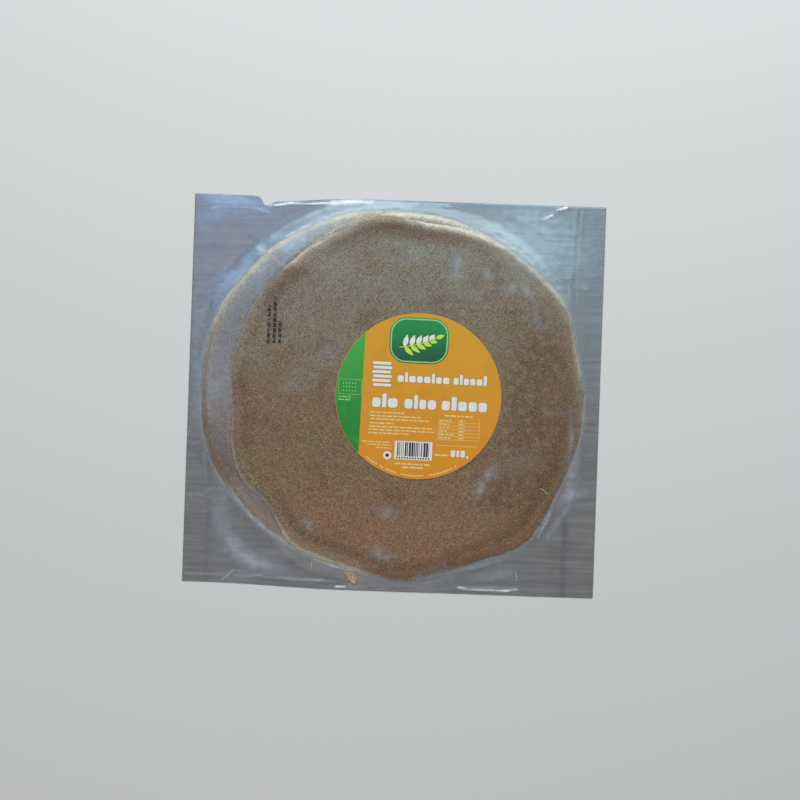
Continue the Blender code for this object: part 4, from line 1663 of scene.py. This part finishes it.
# %% The crumb tree
CRUMB_SIZE = 0.55 * MM
CRUMB_COUNT = 110
CRUMB_ROUGH = 0.35
CRUMB_OUT = (0.3, 9.0, 1.2)
CRUMB_CLEAR, CRUMB_RESTS = 2.2 * CRUMB_SIZE, 1.1 * CRUMB_SIZE
LUMPS_A_METRE = 1500.0
SIDE_MARGIN, END_MARGIN = 8 * MM, 12 * MM


def crumb_tree():
    inputs = {"Size": ("Float", CRUMB_SIZE), "Rough": ("Float", CRUMB_ROUGH), "Material": ("Material", None)}
    tree = Tree("crumbs", inputs)
    ball = tree.node("GeometryNodeMeshIcoSphere", {}, {"Radius": tree.input["Size"], "Subdivisions": 2})

    def random_vector(low, high, seed):
        values = {"Min": low, "Max": high, "Seed": seed}
        return tree.node("FunctionNodeRandomValue", {"data_type": "FLOAT_VECTOR"}, values)

    turn = random_vector((-0.3, -0.3, 0.0), (0.3, 0.3, 6.28), 5)
    scale = random_vector((0.5, 0.4, 0.4), (1.5, 1.2, 0.8), 6)
    whole = tree.scattered(ball, turn, scale)
    place = tree.node("GeometryNodeInputPosition")
    lumps = tree.node("ShaderNodeTexNoise", {}, {"Vector": place, "Scale": LUMPS_A_METRE}, out=1)
    shove = tree.vector("SUBTRACT", lumps, (0.5, 0.5, 0.5))
    reach = tree.math("MULTIPLY", tree.input["Size"], tree.input["Rough"])
    return tree.finish(tree.moved(whole, tree.vector("SCALE", shove, tree.math("MULTIPLY", reach, 2.0))))


def crumb_points(count, seed):
    """Places just outside a rim, where the film stands clear by more than a crumb's height."""
    source = random.Random(seed)
    points = []
    while len(points) < count:
        angle = source.uniform(0.0, math.tau)
        centre, rim = source.choice((UPPER, LOWER))
        out = CREPE_RADIUS + float(rim_bulge(angle, rim)) + source.triangular(*CRUMB_OUT) * MM
        x, y = centre[0] + out * math.cos(angle), centre[1] + out * math.sin(angle)
        if abs(x) > HALF_WIDTH - SIDE_MARGIN or abs(y) > HALF_HEIGHT - END_MARGIN:
            continue
        under = float(stack_height(np.array([x]), np.array([y]))[0])
        if film_height(x, y) - under > CRUMB_CLEAR:
            points.append((x, y, under + CRUMB_RESTS))
    return points


def crumb_finish():
    finish = Finish("crumb", Roughness=0.75)
    cells = finish.noise(3 * MM, 2.0)
    finish.feed(Base_Color=finish.mix(cells.step(0.30, 0.60), CREPE_TOASTED, CREPE_BEIGE))
    finish.relief(finish.noise(0.4 * MM), 0.1 * MM)
    return finish.material


crumbs = mesh_object("crumbs", np.array(crumb_points(CRUMB_COUNT, 8)), [])
run_tree(crumbs, crumb_tree(), {"Material": crumb_finish()})
print("crumbs:", len(crumbs.data.polygons), "faces")

# %% A broken flake at the near rim
FLAKE_PLACE = (-33.0 * MM, -162.5 * MM)
FLAKE_LONG, FLAKE_WIDE = 16.0 * MM, 9.0 * MM
FLAKE_THICK = 0.9 * MM
FLAKE_LOW = 1.5 * MM
FLAKE_TURN = math.radians(-60)
FLAKE_UNDER = 0.35 * MM
FLAKE_TILT = 0.10
FLAKE_RAGGED, FLAKE_RAGGED_SIZE = 0.45, 0.55
FLAKE_BUMP, FLAKE_BUMP_SIZE = 0.25 * MM, 2.2 * MM
FLAKE_SECTORS, FLAKE_RINGS = 48, 8
FLAKE_GOLD, FLAKE_PALE = (180, 136, 84), (240, 214, 164)


def flake_finish():
    finish = Finish("crepe_flake", Roughness=0.7)
    grain = finish.noise(1.6 * MM, 2.0)
    finish.feed(Base_Color=finish.mix(grain.step(0.35, 0.65), FLAKE_GOLD, FLAKE_PALE))
    finish.relief(grain, 0.3 * MM)
    return finish.material


def make_flake():
    """A ragged chip of crepe, tilted up at one end."""
    angles = np.arange(FLAKE_SECTORS) / FLAKE_SECTORS * math.tau
    ragged = 1.0 + FLAKE_RAGGED * soft_noise(np.cos(angles), np.sin(angles), FLAKE_RAGGED_SIZE, 61)
    rings = []
    outwards = np.linspace(0, 1, FLAKE_RINGS + 1)[1:]
    shares = np.concatenate([outwards, [1.0], np.linspace(1, 0, FLAKE_RINGS + 1)[1:-1]])
    for index, share in enumerate(shares):
        x = share * ragged * FLAKE_LONG / 2 * np.cos(angles)
        y = share * ragged * FLAKE_WIDE / 2 * np.sin(angles)
        bump = FLAKE_BUMP * soft_noise(x, y, FLAKE_BUMP_SIZE, 62)
        z = FLAKE_LOW + bump - FLAKE_TILT * x + (FLAKE_THICK if index < FLAKE_RINGS else 0.0)
        rings.append(np.stack([x, y, z], 1))
    top, low = np.array([[0.0, 0.0, FLAKE_LOW + FLAKE_THICK]]), np.array([[0.0, 0.0, FLAKE_LOW]])
    points = np.concatenate(rings + [top, low])
    points[:, :2] = np.stack(turned(points[:, 0], points[:, 1], FLAKE_TURN), 1) + FLAKE_PLACE
    ceiling = np.array([film_height(x, y) for x, y in points[:, :2]]) - FLAKE_UNDER
    is_low = np.arange(len(points)) >= FLAKE_SECTORS * (FLAKE_RINGS + 1)
    is_low[-2] = False
    points[:, 2] = np.clip(points[:, 2], FLOOR_GAP, ceiling - 0.5 * FLAKE_THICK * is_low)
    obj = disc_object("flake", points, FLAKE_SECTORS)
    obj.data.materials.append(flake_finish())
    return obj


flake = make_flake()
print("flake at", [round(value / MM) for value in FLAKE_PLACE])

# %% Nicks and a fibre on the film
NICK_RADIUS = 0.20 * MM
WELD = 0.01 * MM
NICK_GREY = (190, 176, 156)
nick_paths = [
    [(133.5, -78.5), (136.0, -78.8), (138.5, -80.5), (139.5, -83.5)],
    [(114.6, -154.8), (116.6, -157.2), (116.3, -160.6), (115.0, -162.4)],
    [(-68.8, -150.6), (-68.3, -153.5), (-69.2, -156.6), (-70.0, -158.4)],
]


def make_nicks():
    """Thin tubes along short curves that follow the film's height."""
    curve = bpy.data.curves.new("nicks", "CURVE")
    curve.dimensions = "3D"
    curve.bevel_depth = NICK_RADIUS
    curve.bevel_resolution = 2
    curve.use_fill_caps = True
    for path in nick_paths:
        spline = curve.splines.new("NURBS")
        spline.points.add(len(path) - 1)
        for point, (x, y) in zip(spline.points, path):
            point.co = (x * MM, y * MM, film_height(x * MM, y * MM) + NICK_RADIUS, 1.0)
        spline.use_endpoint_u = True
        spline.order_u = 4
        spline.resolution_u = 8
    helper = add_object("nick_curves", curve)
    mesh = evaluated_mesh(helper)
    bpy.data.objects.remove(helper)
    welded = bmesh.new()
    welded.from_mesh(mesh)
    bmesh.ops.remove_doubles(welded, verts=welded.verts, dist=WELD)
    bmesh.ops.recalc_face_normals(welded, faces=welded.faces)
    welded.to_mesh(mesh)
    welded.free()
    mesh.shade_smooth()
    return add_object("film_nicks", mesh)


def nick_finish():
    finish = Finish("nick", Roughness=0.4)
    finish.feed(Base_Color=finish.mix(finish.noise(2 * MM), FILM_WHITE, NICK_GREY))
    return finish.material


film_nicks = make_nicks()
film_nicks.data.materials.append(nick_finish())
print("nicks:", len(film_nicks.data.polygons), "faces")

# %% [markdown]
# ## Each piece takes its place in the frame
#
# The pack is one body that moves as a whole, so every piece rides on it. The film and
# the crepes stand for the bag's solid together, and the disc and its print stand for
# the label's.

# %% Bodies and replaced solids
BODY = "root"
print_pieces = [shadow_print, white_print, small_print, code_ground, code_stripes, spot_ground]
print_pieces += [green_side, green_marks, *badge]
dressed = (
    ([film, film_nicks, date_marks], "film", "film_bag"),
    ([*crepe_objects, crumbs, flake], "crepe", "film_bag"),
    ([label], "label_paper", "label"),
    (print_pieces, "label_print", "label"),
)
for pieces, slot, node in dressed:
    for piece in pieces:
        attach(piece, BODY)
        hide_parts(node)

# %% [markdown]
# ## Floor, light and camera
#
# The pack lies on a plain pale floor. A wide cool window light stands beyond the far
# edge, so that film which slopes that way shines and the near side stays calm. A dim
# light hangs above, and a warm dim one fills from the near side. The camera looks
# straight down, turned so that the pack's near edge falls a little to the right.

# %% Floor
FLOOR_SIZE = 6.0
FLOOR_GREY = (216, 216, 214)

half = FLOOR_SIZE / 2
corners = np.array([(-half, -half, 0.0), (half, -half, 0.0), (half, half, 0.0), (-half, half, 0.0)])
floor = mesh_object("floor", corners, [(0, 1, 2, 3)])
floor_finish = Finish("floor", Base_Color=screen_colour(*FLOOR_GREY), Roughness=0.9)
floor.data.materials.append(floor_finish.material)
print("floor", FLOOR_SIZE, "m wide")

# %% Light
MIDDLE = (0.0, 0.0, 0.0)


def aim(obj, target):
    """Turns an object so that its -Z looks at a point."""
    way = mathutils.Vector(target) - obj.location
    obj.rotation_euler = way.to_track_quat("-Z", "Y").to_euler()


def soft_light(name, place, size, power, colour):
    light = bpy.data.lights.new(name, "AREA")
    light.shape = "RECTANGLE"
    light.size, light.size_y = size
    light.energy = power
    light.color = colour
    obj = add_object(name, light)
    obj.location = place
    aim(obj, MIDDLE)


def make_world(colour, strength):
    world = bpy.data.worlds.new("room")
    world.use_nodes = True
    background = world.node_tree.nodes["Background"]
    background.inputs["Color"].default_value = (*colour, 1.0)
    background.inputs["Strength"].default_value = strength
    bpy.context.scene.world = world


soft_light("window", (0.1, 1.25, 1.00), (1.8, 0.9), 22.0, (0.90, 0.96, 1.0))
soft_light("overhead", (-0.25, 0.45, 1.75), (1.4, 0.7), 4.0, (0.90, 0.95, 1.0))
soft_light("near_fill", (-0.3, -1.3, 1.0), (1.4, 0.8), 3.0, (1.0, 0.95, 0.88))
make_world((0.97, 0.98, 1.0), 0.32)

# %% Camera
CAMERA_OVER = (5.5 * MM, -3.4 * MM)
CAMERA_HEIGHT = 1.2
SENSOR = 36.0
VIEW_WIDTH = 0.720
CAMERA_ROLL = math.radians(2.0)

camera_data = bpy.data.cameras.new("camera")
camera_data.sensor_width = SENSOR
camera_data.lens = SENSOR * CAMERA_HEIGHT / VIEW_WIDTH
camera = add_object("camera", camera_data)
camera.location = (*CAMERA_OVER, CAMERA_HEIGHT)
camera.rotation_euler = (0.0, 0.0, CAMERA_ROLL)
bpy.context.scene.camera = camera
bpy.context.scene.view_settings.view_transform = "Standard"
print("lens", round(camera_data.lens, 1), "mm")
